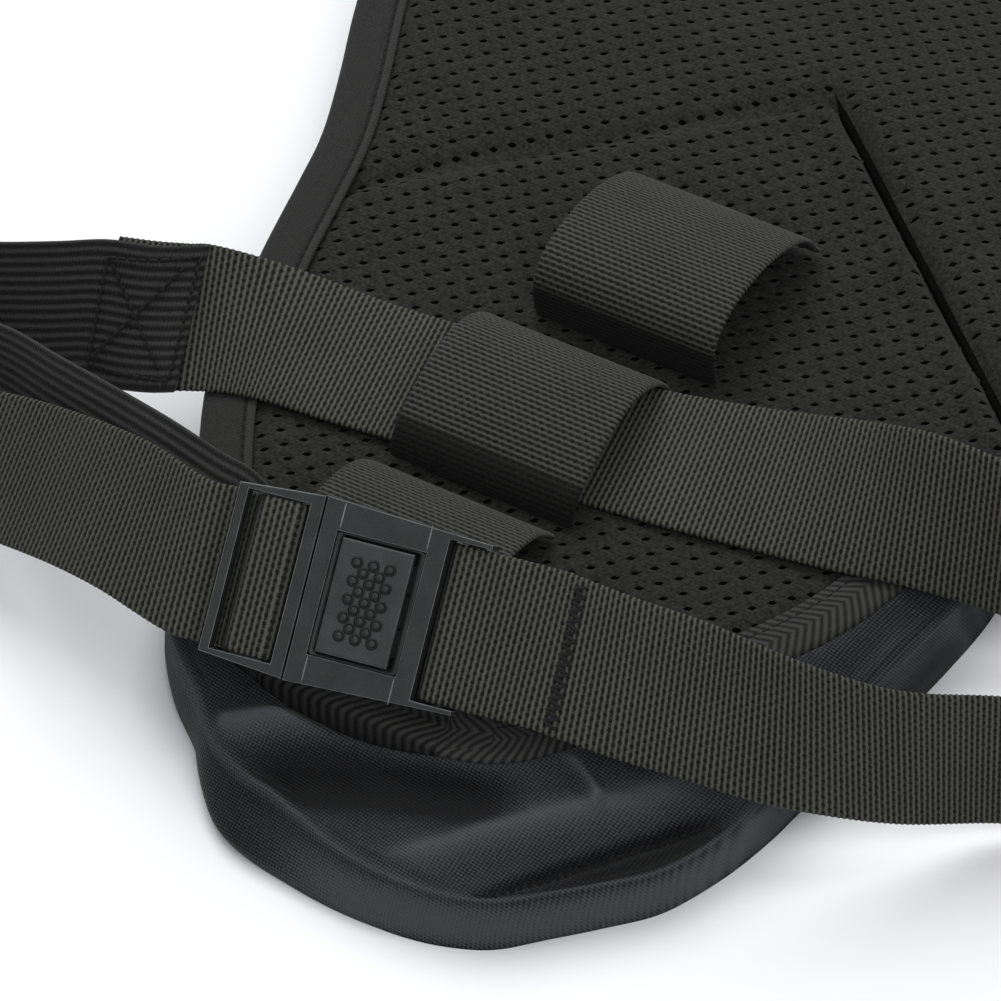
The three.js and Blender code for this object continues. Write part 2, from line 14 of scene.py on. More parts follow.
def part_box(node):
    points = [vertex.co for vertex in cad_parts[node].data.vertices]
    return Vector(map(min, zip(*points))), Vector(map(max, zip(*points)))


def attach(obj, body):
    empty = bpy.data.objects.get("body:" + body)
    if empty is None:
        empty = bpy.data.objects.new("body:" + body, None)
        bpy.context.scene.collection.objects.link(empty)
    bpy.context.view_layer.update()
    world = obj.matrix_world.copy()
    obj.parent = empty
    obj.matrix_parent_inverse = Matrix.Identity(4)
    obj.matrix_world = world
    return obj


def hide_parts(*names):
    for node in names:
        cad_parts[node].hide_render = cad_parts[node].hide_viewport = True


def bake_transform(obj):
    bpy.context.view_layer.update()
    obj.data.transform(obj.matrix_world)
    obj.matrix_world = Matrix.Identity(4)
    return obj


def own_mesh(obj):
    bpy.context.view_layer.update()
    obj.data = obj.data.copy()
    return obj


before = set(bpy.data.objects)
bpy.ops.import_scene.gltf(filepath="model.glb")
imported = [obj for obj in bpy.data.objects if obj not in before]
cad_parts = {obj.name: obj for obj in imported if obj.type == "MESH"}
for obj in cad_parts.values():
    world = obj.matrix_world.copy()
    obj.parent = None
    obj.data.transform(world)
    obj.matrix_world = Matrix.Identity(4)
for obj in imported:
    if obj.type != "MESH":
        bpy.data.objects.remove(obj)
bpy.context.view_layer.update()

MM = 0.001
TAU = 2 * math.pi

# ---- camera, floor and light

CAMERA_AZIMUTH = 30
CAMERA_ELEVATION = 45
CAMERA_DISTANCE = 1500
CAMERA_TARGET = Vector((-3.9, 25.1, 25))
CAMERA_LENS = 220.1
SENSOR_WIDTH = 36
LIGHTS_AIM = Vector((0, 0.12, 0))  # metres, as the lights' sizes and distances are
# Name, azimuth, elevation, distance, size and watts of each light.
LIGHTS = [("softbox_back", 228, 64, 1.4, 1.4, 19), ("softbox_front", 46, 48, 2.4, 1.8, 28)]
ROOM_COLOUR, ROOM_STRENGTH = (0.93, 0.95, 1), 0.45
FLOOR_COLOUR, FLOOR_ROUGHNESS, FLOOR_SIZE = (0.76, 0.767, 0.782), 0.9, 8


def direction(azimuth, elevation):
    """From the object towards a viewer; at azimuth 0 the viewer looks along +Y."""
    a, e = math.radians(azimuth), math.radians(elevation)
    return Vector((math.sin(a) * math.cos(e), -math.cos(a) * math.cos(e), math.sin(e)))


def add_camera():
    data = bpy.data.cameras.new("camera")
    data.lens = CAMERA_LENS
    data.sensor_width = SENSOR_WIDTH
    data.clip_start, data.clip_end = 0.05, 20
    camera = bpy.data.objects.new("camera", data)
    back = direction(CAMERA_AZIMUTH, CAMERA_ELEVATION)
    camera.location = (CAMERA_TARGET + back * CAMERA_DISTANCE) * MM
    camera.rotation_mode = "QUATERNION"
    camera.rotation_quaternion = (-back).to_track_quat("-Z", "Y")
    bpy.context.scene.collection.objects.link(camera)
    bpy.context.scene.camera = camera


def add_light(name, azimuth, elevation, distance, size, watts):
    data = bpy.data.lights.new(name, "AREA")
    data.shape = "DISK"
    data.size = size
    data.energy = watts
    light = bpy.data.objects.new(name, data)
    away = direction(azimuth, elevation)
    light.location = LIGHTS_AIM + away * distance
    light.rotation_mode = "QUATERNION"
    light.rotation_quaternion = (-away).to_track_quat("-Z", "Y")
    bpy.context.scene.collection.objects.link(light)


def add_surroundings():
    world = bpy.data.worlds.new("room")
    world.use_nodes = True
    background = world.node_tree.nodes["Background"]
    background.inputs["Color"].default_value = (*ROOM_COLOUR, 1)
    background.inputs["Strength"].default_value = ROOM_STRENGTH
    bpy.context.scene.world = world
    for light in LIGHTS:
        add_light(*light)
    bpy.context.scene.view_settings.view_transform = "Standard"
    bpy.ops.mesh.primitive_plane_add(size=FLOOR_SIZE, location=(0, 0.15, 0))
    floor = bpy.context.object
    floor.name = "floor"
    floor.data.materials.append(plain_material("floor_white", FLOOR_COLOUR, FLOOR_ROUGHNESS))


# ---- materials


class Term:
    """A number in a shader graph, so that patterns read as formulas."""

    def __init__(self, tree, value):
        self.tree, self.value = tree, value

    def apply(self, operation, *others):
        node = self.tree.nodes.new("ShaderNodeMath")
        node.operation = operation
        for i, term in enumerate((self, *others)):
            value = term.value if isinstance(term, Term) else term
            if isinstance(value, (int, float)):
                node.inputs[i].default_value = value
            else:
                self.tree.links.new(value, node.inputs[i])
        return Term(self.tree, node.outputs[0])

    def __add__(self, other):
        return self.apply("ADD", other)

    def __sub__(self, other):
        return self.apply("SUBTRACT", other)

    def __mul__(self, other):
        return self.apply("MULTIPLY", other)

    def wave(self, pitch, shift=0.0):
        """From -1 to 1, cosine of the term with that pitch."""
        return ((self - shift) * (TAU / pitch)).apply("COSINE")

    def over(self, low, high):
        """From 0 at low to 1 at high, smoothly."""
        node = self.tree.nodes.new("ShaderNodeMapRange")
        node.interpolation_type = "SMOOTHSTEP"
        self.tree.links.new(self.value, node.inputs["Value"])
        node.inputs["From Min"].default_value = low
        node.inputs["From Max"].default_value = high
        return Term(self.tree, node.outputs[0])


class Surface:
    """A Principled material with terms for its coordinates."""

    def __init__(self, name, roughness, specular=0.3, sheen=0.0):
        self.material = bpy.data.materials.new(name)
        self.material.use_nodes = True
        self.tree = self.material.node_tree
        self.shader = self.tree.nodes["Principled BSDF"]
        self.shader.inputs["Roughness"].default_value = roughness
        self.shader.inputs["Specular IOR Level"].default_value = specular
        self.shader.inputs["Sheen Weight"].default_value = sheen
        self.shader.inputs["Sheen Roughness"].default_value = 0.5

    def split(self, output):
        node = self.tree.nodes.new("ShaderNodeSeparateXYZ")
        self.tree.links.new(output, node.inputs[0])
        return [Term(self.tree, o) for o in node.outputs]

    def across_along(self):
        """Millimetres across and along a strap or tape, from its weave map."""
        node = self.tree.nodes.new("ShaderNodeUVMap")
        node.uv_map = "weave"
        return self.split(node.outputs[0])[:2]

    def place(self):
        """Millimetres in the object's own frame."""
        node = self.tree.nodes.new("ShaderNodeTexCoord")
        return [term * 1000 for term in self.split(node.outputs["Object"])]

    def noise(self, size_mm, detail=2):
        """From 0 to 1, cloudy variation of about that size."""
        coordinates = self.tree.nodes.new("ShaderNodeTexCoord")
        node = self.tree.nodes.new("ShaderNodeTexNoise")
        node.inputs["Scale"].default_value = 1000 / size_mm
        node.inputs["Detail"].default_value = detail
        self.tree.links.new(coordinates.outputs["Object"], node.inputs["Vector"])
        return Term(self.tree, node.outputs["Fac"])

    def painted(self, name):
        """A number stored at the mesh's points, 0 where there is none."""
        node = self.tree.nodes.new("ShaderNodeAttribute")
        node.attribute_name = name
        return Term(self.tree, node.outputs["Fac"])

    def colour(self, amount, low, high):
        """The base colour runs from low to high with the amount."""
        node = self.tree.nodes.new("ShaderNodeMix")
        node.data_type = "RGBA"
        self.tree.links.new(amount.value, node.inputs["Factor"])
        node.inputs[6].default_value = (*low, 1)
        node.inputs[7].default_value = (*high, 1)
        self.tree.links.new(node.outputs[2], self.shader.inputs["Base Color"])

    def rough(self, amount, low, high):
        value = (amount * (high - low) + low).value
        self.tree.links.new(value, self.shader.inputs["Roughness"])

    def relief(self, height, depth_mm):
        """Bumps of that height, as if that many millimetres deep."""
        node = self.tree.nodes.new("ShaderNodeBump")
        node.inputs["Strength"].default_value = 1
        node.inputs["Distance"].default_value = depth_mm * MM
        self.tree.links.new(height.value, node.inputs["Height"])
        self.tree.links.new(node.outputs[0], self.shader.inputs["Normal"])

    def made(self, height, depth_mm, tone, low, high):
        """The material, with that relief and its colour by the tone."""
        self.relief(height, depth_mm)
        self.colour(tone, low, high)
        return self.material


def plain_material(name, colour, roughness):
    """An even surface with a trace of grain, for the floor."""
    surface = Surface(name, roughness)
    surface.colour(surface.noise(60), [0.985 * c for c in colour], colour)
    return surface.material


RIB_PITCH = 1.44  # cross ribs of the webbing
WEAVE_WAVE = 2.1  # between the dark gaps of one groove
ELASTIC_PITCH = 2.55  # lengthways cords of the elastic
TAPE_WIDTH = 13.6  # of an edge binding that shows on each face
STITCH_LINE = 2.6  # from a binding's inner edge to the line it is sewn on
HERRINGBONE_PITCH, TWILL_PITCH = 2.6, 1.15


def webbing_material(name, dark, light, painted_shade_length=None):
    """Heavy webbing: cross ribs, and in the grooves dark gaps that shift half a step at every rib.
    Given a length, that stretch from its start is darkened: painted shade where the strap turns
    from the light."""
    surface = Surface(name, 0.85, 0.14, 0.03)
    across, along = surface.across_along()
    crest = along.wave(RIB_PITCH) * 0.5 + 0.5
    gap = (along.wave(2 * RIB_PITCH, RIB_PITCH / 2) * across.wave(WEAVE_WAVE)).over(-0.2, 0.7)
    gap = gap * (crest * -0.8 + 1)
    fuzz = surface.noise(0.45, 3)
    height = crest - gap * 0.5 + fuzz * 0.35
    tone = crest * 0.75 + 0.17 - gap * 0.48 + (fuzz - 0.5) * 1.1
    tone = tone + (surface.noise(18) - 0.5) * 0.2
    if painted_shade_length:
        # Painted shade: the strap's first stretch is darkened, as if in shadow.
        tone = tone * (along.over(painted_shade_length - 1.5, painted_shade_length + 2) * 0.8 + 0.2)
    return surface.made(height, 0.3, tone.over(0, 1), dark, light)


def elastic_material():
    """Ribbed elastic: raised cords along it, with fine cross threads between them."""
    surface = Surface("elastic_knit", 0.85, 0.12, 0.03)
    across, along = surface.across_along()
    rib = across.wave(ELASTIC_PITCH) * 0.5 + 0.5
    cross = along.wave(0.9) * 0.5 + 0.5
    fuzz = surface.noise(0.5, 3)
    height = rib * 0.8 + cross * 0.35 + fuzz * 0.3
    tone = (rib * 0.7 + cross * 0.15 + (fuzz - 0.5) * 0.7).over(0.1, 1)
    return surface.made(height, 0.25, tone, (0.009, 0.009, 0.0088), (0.04, 0.04, 0.038))


def mesh_material():
    """Knitted face of the spacer mesh: fine slanted yarns between the holes."""
    surface = Surface("spacer_mesh_knit", 0.9, 0.1, 0.03)
    x, y, _ = surface.place()
    yarn = (x * 0.5 - y * 0.86).wave(1.3) * (x * 0.86 + y * 0.5).wave(2.2)
    fuzz = surface.noise(1.1, 3)
    height = yarn * 0.4 + fuzz * 1.2
    tone = (yarn * 0.1 + (fuzz - 0.5) * 1.5 + surface.noise(26) * 0.25 + 0.38).over(0, 1)
    return surface.made(height, 0.08, tone, (0.005, 0.005, 0.0046), (0.023, 0.0235, 0.0212))


def tape_material(name, zigzag):
    """Twill tape; with a zigzag the slant turns round at the middle, as herringbone does."""
    surface = Surface(name, 0.85, 0.14, 0.04)
    across, along = surface.across_along()
    if zigzag:
        line = (along + (across - TAPE_WIDTH / 2).apply("ABSOLUTE") * 0.9).wave(HERRINGBONE_PITCH)
        tone = line * 0.36 + 0.5
    else:
        line = (along + across * 1.2).wave(TWILL_PITCH)
        sewn = (across - STITCH_LINE).apply("ABSOLUTE").over(0.15, 0.7)
        rim = (across * -1).over(-STITCH_LINE, 0.4 - STITCH_LINE)
        tone = (line * 0.1 + 0.38 + rim * 0.16) * sewn
    fuzz = surface.noise(0.5, 3)
    height, depth = line * 0.5 + fuzz * 0.35, 0.22 if zigzag else 0.08
    tone = (tone + (fuzz - 0.5) * 0.6).over(0, 1)
    return surface.made(height, depth, tone, (0.005, 0.005, 0.0048), (0.035, 0.036, 0.033))


def nylon_material(name, dark, light, pitch, roughness, specular=0.2, base=0.5):
    """Coated plain-weave nylon, weave slantwise; a number stored on the mesh adds painted light and
    shade.
    """
    surface = Surface(name, roughness, specular, 0.04)
    x, y, z = surface.place()
    warp, weft = x * 0.8 + y * 0.6 + z * 0.5, y * 0.8 - x * 0.6 + z * 0.5
    cell = warp.wave(pitch) * weft.wave(pitch)
    fuzz = surface.noise(0.6, 3)
    tone = cell * 0.34 + (fuzz - 0.5) * 0.6 + (surface.noise(34) - 0.5) * 0.4
    # Painted light and shade from the mesh's stored number, 0 where there is none.
    tone = (tone + surface.painted("painted_light_shade") * 0.5 + base).over(0, 1)
    return surface.made(cell * 0.5 + fuzz * 0.35, 0.13, tone, dark, light)


def plastic_material(name, dark, light):
    """Moulded acetal with a fine spark texture and slightly polished patches."""
    surface = Surface(name, 0.5, 0.22)
    grain, cloud = surface.noise(0.35, 3), surface.noise(6, 3)
    surface.rough(cloud, 0.42, 0.68)
    return surface.made(grain, 0.05, (grain * 0.5 + cloud * 0.5).over(0.25, 0.75), dark, light)


def shade_material():
    """Painted shade: near-black cloth without gloss, in the mesh's holes and as the shadow in the
    chevron's fold.
    """
    surface = Surface("painted_shade_black", 1, 0)
    grain = surface.noise(0.6, 2)
    return surface.made(grain, 0.05, grain, (0.0012, 0.0012, 0.0012), (0.005, 0.005, 0.0047))


def thread_material():
    """Bonded sewing thread."""
    surface = Surface("thread", 0.8, 0.15, 0.04)
    grain = surface.noise(0.3, 2)
    tone = grain.over(0.2, 0.8)
    return surface.made(grain, 0.05, tone, (0.003, 0.003, 0.003), (0.013, 0.013, 0.0125))


def steel_material():
    """Blackened spring steel with fine scratches."""
    surface = Surface("spring_steel", 0.4, 0.4)
    surface.shader.inputs["Metallic"].default_value = 0.8
    scratch = surface.noise(0.6, 4)
    surface.rough(scratch, 0.35, 0.6)
    surface.colour(scratch, (0.012, 0.012, 0.013), (0.05, 0.05, 0.052))
    return surface.material


# ---- mesh helpers


def build(name, verts, faces, material, uv=None, smooth=True):
    """A mesh object from millimetres; uv is the weave map, one pair for each vertex."""
    mesh = bpy.data.meshes.new(name)
    mesh.from_pydata((np.asarray(verts, float) * MM).tolist(), [], faces)
    if uv is not None:
        layer = mesh.uv_layers.new(name="weave")
        corner = np.zeros(len(mesh.loops), np.int32)
        mesh.loops.foreach_get("vertex_index", corner)
        layer.data.foreach_set("uv", np.asarray(uv, np.float32)[corner].ravel())
    mesh.materials.append(material)
    mesh.polygons.foreach_set("use_smooth", [smooth] * len(mesh.polygons))
    mesh.validate()
    obj = bpy.data.objects.new(name, mesh)
    bpy.context.scene.collection.objects.link(obj)
    return obj


def place_piece(piece, slot, *replaced, body="vest"):
    """The body a piece moves with and the CAD nodes it stands for; slot, its material slot, is not
    used.
    """
    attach(piece, body)
    if replaced:
        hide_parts(*replaced)
    return piece


def loft(rings, closed_path=False):
    """Quads over rings[i][j], each ring closed, and the two end caps unless the path is closed."""
    count, size = len(rings), len(rings[0])
    faces = []
    for i in range(count if closed_path else count - 1):
        a, b = i * size, (i + 1) % count * size
        for j in range(size):
            k = (j + 1) % size
            faces.append((a + j, a + k, b + k, b + j))
    if not closed_path:
        faces.append(tuple(range(size))[::-1])
        faces.append(tuple((count - 1) * size + j for j in range(size)))
    return faces


def lofted(name, rings, material, uv=None, closed_path=False):
    """A piece whose skin runs over rings[i][j]."""
    rings = np.asarray(rings)
    uv = None if uv is None else uv.reshape(-1, 2)
    return build(name, rings.reshape(-1, 3), loft(rings, closed_path), material, uv)


def smoothstep(x, low, high):
    """From 0 at low to 1 at high, smoothly; low may be the larger."""
    t = np.clip((np.asarray(x, float) - low) / (high - low), 0, 1)
    return t * t * (3 - 2 * t)


def unit(v):
    return v / np.maximum(np.linalg.norm(v, axis=-1, keepdims=True), 1e-12)


def quarter_turn(v):
    """Vectors in the plane, turned a quarter to the left."""
    return np.stack([-v[..., 1], v[..., 0]], -1)


def lengths(path):
    """Length along a path of points, at each of them."""
    return np.concatenate([[0], np.cumsum(np.linalg.norm(np.diff(path, axis=0), axis=1))])


def on_face(xy, face, lift=0.0):
    """Points over the plane, at the height face(x, y) and a lift."""
    return np.column_stack([xy, face(xy[:, 0], xy[:, 1]) + lift])


def hermite(p1, p2, m1, m2, w):
    """Curve from p1 to p2 with tangents m1 and m2, at the shares w."""
    cubic = 2 * p1 - 2 * p2 + m1 + m2
    square = -3 * p1 + 3 * p2 - 2 * m1 - m2
    return cubic * w**3 + square * w**2 + m1 * w + p1


def catmull(points, t):
    """Centripetal Catmull-Rom curve through the points, at parameters t from 0 to 1."""
    p = np.asarray(points, float)
    p = np.vstack([2 * p[0] - p[1], p, 2 * p[-1] - p[-2]])
    knot = np.clip(np.asarray(t, float) * (len(p) - 3), 0, len(p) - 3)
    i = np.minimum(knot.astype(int), len(p) - 4)
    w = (knot - i)[:, None]
    p0, p1, p2, p3 = p[i], p[i + 1], p[i + 2], p[i + 3]
    pairs = ((p0, p1), (p1, p2), (p2, p3))
    step = [np.sqrt(np.linalg.norm(b - a, axis=1))[:, None] for a, b in pairs]
    d1 = np.maximum(step[1], 1e-4)
    d0 = np.where(step[0] < 1e-4, d1, step[0])
    d2 = np.where(step[2] < 1e-4, d1, step[2])
    m1 = ((p1 - p0) / d0 - (p2 - p0) / (d0 + d1) + (p2 - p1) / d1) * d1
    m2 = ((p2 - p1) / d1 - (p3 - p1) / (d1 + d2) + (p3 - p2) / d2) * d1
    return hermite(p1, p2, m1, m2, w)


def stations(low, high, spacing):
    """Evenly spaced points on a strap's two edges, its normals and the lengths along it."""
    fine = np.linspace(0, 1, 4001)
    middle = (catmull(low, fine) + catmull(high, fine)) / 2
    length = lengths(middle)
    along = np.linspace(0, length[-1], max(2, round(length[-1] / spacing)) + 1)
    t = np.interp(along, length, fine)
    a, b = catmull(low, t), catmull(high, t)
    ahead = np.gradient((a + b) / 2, axis=0)
    return a, b, unit(np.cross(ahead, b - a)), along


def section(columns, edge=0.012):
    """Closed section of a strap: (share of the width, share of the half thickness)."""
    inner = np.linspace(0.03, 0.97, columns)
    top = [(0, 0.35), (edge, 0.85), *((a, 1) for a in inner), (1 - edge, 0.85), (1, 0.35)]
    return np.array(top + [(a, -h) for a, h in reversed(top)])


NICK = 0.16  # how far the edge of a cross-ribbed strap goes in between two ribs


def strap(
    name, low, high, thickness, material,
    rib=0.22, columns=7, per_rib=5, pitch=RIB_PITCH, ribs_along=0.0,
):
    """A woven strap with its ribs as real relief; ribs_along is the pitch of lengthways ribs."""
    spacing = pitch / per_rib
    a, b, normal, along = stations(low, high, spacing)
    width = float(np.linalg.norm(b[0] - a[0]))
    profile = section(columns)
    share, height = profile[:, 0], profile[:, 1]
    wave = 0.5 - 0.5 * np.cos(TAU * along / pitch)[:, None]
    if ribs_along:
        wave = 0.5 - 0.5 * np.cos(TAU * share * width / ribs_along)[None, :] + 0 * wave
    lift = height[None, :] * thickness / 2 - np.sign(height)[None, :] * rib * wave
    end = np.abs(height) < 0.5
    nick = np.where(end, 1, 0)[None, :] * (0 if ribs_along else NICK) * wave / width
    part = share[None, :] + nick * np.where(share < 0.5, 1, -1)[None, :]
    points = a[:, None] + (b - a)[:, None] * part[..., None] + normal[:, None] * lift[..., None]
    uv = np.stack(np.broadcast_arrays(share[None, :] * width, along[:, None]), -1)
    return lofted(name, points, material, uv)


def stitches(name, starts, ends, normals, radius, material, rise=0.5):
    """Short threads from starts to ends, half sunk into the cloth."""
    starts, ends, up = (np.asarray(x, float) for x in (starts, ends, normals))
    ahead = ends - starts
    side = unit(np.cross(ahead, up))
    up = unit(np.cross(side, ahead))
    turns = np.linspace(0, TAU, 7)[:-1]
    rings = [(0.0, 0.25), (0.12, 0.8), (0.5, 1.0), (0.88, 0.8), (1.0, 0.25)]
    template = []
    for t, r in rings:
        arch = rise * radius * math.sin(math.pi * t)
        for turn in turns:
            template.append((t, r * radius * math.cos(turn), r * radius * math.sin(turn) + arch))
    template = np.array(template)
    verts = (
        starts[:, None]
        + ahead[:, None] * template[None, :, :1]
        + side[:, None] * template[None, :, 1:2]
        + up[:, None] * template[None, :, 2:]
    )
    one = loft([[0] * 6] * len(rings))
    size = len(template)
    faces = [tuple(i + k * size for i in face) for k in range(len(starts)) for face in one]
    return build(name, verts.reshape(-1, 3), faces, material)


def seam(path, pitch=3.2, share=0.78):
    """Starts and ends of the stitches along a path of points."""
    path = np.asarray(path, float)
    length = lengths(path)
    count = max(1, int(length[-1] / pitch))
    first = np.linspace(0, length[-1] - pitch * share, count)
    at = lambda s: np.stack([np.interp(s, length, path[:, k]) for k in range(3)], -1)
    return at(first), at(first + pitch * share)


def seam_piece(name, paths, radius, pitch=3.2, share=0.78, up=(0, 0, 1)):
    """Rows of stitches as one piece; up is the way their crowns stand."""
    rows = [seam(path, pitch, share) for path in paths]
    starts, ends = (np.concatenate([row[k] for row in rows]) for k in (0, 1))
    piece = stitches(name, starts, ends, np.tile(up, (len(starts), 1)), radius, THREAD)
    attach(piece, "vest")


# ---- outlines


def polygon_inset(polygon, xy):
    """How far points lie inside a closed polygon; negative outside."""
    xy = np.asarray(xy, float)
    a, b = polygon, np.roll(polygon, -1, axis=0)
    best = np.full(len(xy), 1e9)
    odd = np.zeros(len(xy), bool)
    for p, q in zip(a, b):
        d = q - p
        t = np.clip(((xy - p) @ d) / max(d @ d, 1e-12), 0, 1)
        best = np.minimum(best, np.linalg.norm(xy - p - t[:, None] * d, axis=1))
        crosses = (p[1] > xy[:, 1]) != (q[1] > xy[:, 1])
        if q[1] != p[1]:
            x_at = p[0] + (xy[:, 1] - p[1]) / (q[1] - p[1]) * d[0]
            odd ^= crosses & (xy[:, 0] < x_at)
    return np.where(odd, best, -best)


HOLE_ROW = 3.9  # between rows of holes in the spacer mesh
HOLE_STEP = 6.7  # between the holes of a row
HOLE_HALF = (0.95, 0.5)
HOLE_SLANT = math.radians(30)
# The border of a hole's cell, in quarters of a step and halves of a row.
CELL_BORDER = [
    (2, -1), (2, 1), (1, 1), (0, 1), (-1, 1), (-2, 1), (-2, -1), (-1, -1), (0, -1), (1, -1),
]
# Rings down into a hole: share of its size, depth, and depth where it's stretched shut.
PIT_RINGS = [(1.3, 0.06, 0.06), (0.95, 0.6, 0.05), (0.75, 2.2, 0.05)]
SHADED_DEPTH = 0.5  # below which a pit is drawn in the painted-shade material
STEEP_REACH = 1.5  # to each side of a hole, where the relief's rise is measured
STEEP_RELIEF = 1.9  # rise beyond which the mesh is stretched shut


def mesh_cells(polygon, inset):
    """Centre of each hole that lies inside the polygon, with its row and quarter step."""
    low, high = polygon.min(0), polygon.max(0)
    cells = []
    for row in range(math.floor(low[1] / HOLE_ROW), math.ceil(high[1] / HOLE_ROW) + 1):
        odd = row % 2
        for column in range(math.floor(low[0] / HOLE_STEP) - 1, math.ceil(high[0] / HOLE_STEP) + 1):
            x = column * HOLE_STEP + HOLE_STEP / 2 * odd
            cells.append((x, row * HOLE_ROW, row, 4 * column + 2 * odd))
    cells = np.array(cells)
    return cells[polygon_inset(polygon, cells[:, :2]) > inset]


def spacer_mesh(name, polygon, inset, height, material):
    """Spacer mesh inside a polygon, with a real pit for each hole. height(x, y) is its relief."""
    cells = mesh_cells(polygon, inset)
    quarter, half_row = HOLE_STEP / 4, HOLE_ROW / 2
    index, flat, faces, depths = {}, [], [], []

    def corner(kx, ky):
        if (kx, ky) not in index:
            index[kx, ky] = len(flat)
            flat.append((kx * quarter, ky * half_row, 0.0))
        return index[kx, ky]

    turns = np.array([math.atan2(dy * half_row, dx * quarter) for dx, dy in CELL_BORDER])
    long, short = HOLE_HALF
    slanted = turns - HOLE_SLANT
    sizes = long * short / np.hypot(short * np.cos(slanted), long * np.sin(slanted))
    x, y = cells[:, 0], cells[:, 1]
    rise = height(x + STEEP_REACH, y) - height(x - STEEP_REACH, y)
    sides = len(CELL_BORDER)
    for (x, y, row, k), steep in zip(cells, np.abs(rise) > STEEP_RELIEF):
        previous = [corner(int(k) + dx, 2 * int(row) + dy) for dx, dy in CELL_BORDER]
        for scale, depth, shut_depth in PIT_RINGS:
            drop = shut_depth if steep else depth
            current = list(range(len(flat), len(flat) + sides))
            for turn, size in zip(turns, scale * sizes):
                flat.append((x + size * math.cos(turn), y + size * math.sin(turn), drop))
            for j in range(sides):
                after = (j + 1) % sides
                faces.append((previous[j], previous[after], current[after], current[j]))
            depths += [int(drop > SHADED_DEPTH)] * sides
            previous = current
        faces.append(tuple(previous))
        depths.append(int(not steep))
    flat = np.array(flat)
    z = height(flat[:, 0], flat[:, 1]) - flat[:, 2]
    mesh = build(name, np.column_stack([flat[:, :2], z]), faces, material)
    # The deep rings and floors of the pits take the painted-shade material.
    mesh.data.materials.append(SHADE)
    mesh.data.polygons.foreach_set("material_index", depths)
    return mesh


def edge_tape(name, path, inward, top, bottom, material, width=TAPE_WIDTH, closed=False):
    """A tape folded over an edge. path and inward are arrays of points and unit vectors in the
    plane, top and bottom give the two faces' heights at points of the plane."""
    groove = width - STITCH_LINE
    upper = [(width, 0.1), (width - 0.3, 0.75), (groove + 0.7, 0.8), (groove, 0.5)]
    upper += [(groove - 0.7, 0.85), *((a, 0.95) for a in np.linspace(groove - 2, 2.2, 5))]
    upper += [(1.1, 0.72), (0.35, 0.1), (0, -0.9)]
    outer = [(a, h, top) for a, h in upper] + [(a, -h, bottom) for a, h in reversed(upper)]
    inner = [(width - 0.2, -0.15, bottom), (1.3, -0.15, bottom)]
    inner += [(1.3, 0.15, top), (width - 0.2, 0.15, top)]
    columns = [on_face(path + inward * inset, face, rise) for inset, rise, face in outer + inner]
    across = np.array([width - o[0] for o in outer] + [o[0] for o in inner])
    uv = np.stack(np.broadcast_arrays(across[None, :], lengths(path)[:, None]), -1)
    return lofted(name, np.stack(columns, 1), material, uv, closed)


# ---- the panel's shape

PANEL_BOTTOM, PANEL_TOP = -56, 332
# Height up the spine and half of the width there.
HALF_WIDTHS = np.array([
    (PANEL_BOTTOM, 25), (-52, 37), (-44, 47), (-28, 58), (-8, 71), (15, 84), (32, 91.5),
    (50, 96), (72, 102), (100, 107.8), (120, 112.5), (142, 120.5), (169, 131.5), (200, 142),
    (235, 150), (265, 153.5), (290, 150.5), (310, 140), (324, 122), (PANEL_TOP, 100),
], float)
LOOP_LIFT = 1.2  # of the middle loop's lower side over the mesh
MESH_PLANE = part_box("belt_loop_middle")[0].z / MM - LOOP_LIFT
PANEL_THICKNESS = 9.6
PANEL_FALL, FALL_FROM, FALL_TO = 15.4, 190, 322  # how far it sinks, and between which heights
NECK_DEPTH, NECK_HALF = 22, 34


def spline(points, t):
    """Uniform Catmull-Rom curve through the points, as the panel's side is drawn."""
    points = np.asarray(points, float)
    knot = np.clip(np.asarray(t, float) * (len(points) - 1), 0, len(points) - 1)
    i = np.minimum(knot.astype(int), len(points) - 2)
    w = (knot - i)[:, None]
    p1, p2 = points[i], points[i + 1]
    p0 = np.where((i == 0)[:, None], p1, points[np.maximum(i - 1, 0)])
    p3 = np.where((i >= len(points) - 2)[:, None], p2, points[np.minimum(i + 2, len(points) - 1)])
    return hermite(p1, p2, (p2 - p0) / 2, (p3 - p1) / 2, w)


def neck_dip(x):
    """How far the neck's edge dips at the middle."""
    return NECK_DEPTH * np.exp(-((x / NECK_HALF) ** 4))


SIDE = spline(HALF_WIDTHS, np.linspace(0, 1, 150))[:, ::-1]  # x and y of the right side
NECK = np.column_stack([np.linspace(100, -100, 70), np.zeros(70)])
NECK[:, 1] = PANEL_TOP - neck_dip(NECK[:, 0])
PANEL_OUTLINE = np.vstack([SIDE, NECK[1:-1], (SIDE * (-1, 1))[::-1]])


def panel_plane(x, y):
    """Height of the panel's mesh face before its relief."""
    return MESH_PLANE - PANEL_FALL * smoothstep(y, FALL_FROM, FALL_TO) + 0 * x


CHEVRON_APEX = np.array([-3.0, 200.0])
# The two arms of the seam, 1 for the right one.
CHEVRON_ARMS = {1: np.array([97.0, -90.0]), -1: np.array([-97.0, -98.0])}
# Depth and half width of each arm's groove, half width of the dip round it, height of its roll.
CHEVRON_RELIEF = {1: (4.0, 2.1, 5.6, 2.4), -1: (1.9, 2.8, 8, 1.1)}
# Where each belt loop is sewn down: x of its middle, y of its two ends.
LOOP_ENDS = [(-14, -38, 19), (-9, 21, 76), (-3, 78, 146)]
EDGE_DROP = 2.3  # how far the mesh sinks towards the tape that binds it


def arm_distance(x, y, side):
    """Signed distance from one arm of the chevron seam, and the share along it."""
    arm = CHEVRON_ARMS[side]
    length = np.linalg.norm(arm)
    ahead = arm / length
    rel_x, rel_y = x - CHEVRON_APEX[0], y - CHEVRON_APEX[1]
    along = rel_x * ahead[0] + rel_y * ahead[1]
    across = (rel_x * ahead[1] - rel_y * ahead[0]) * -side
    return across, along / length


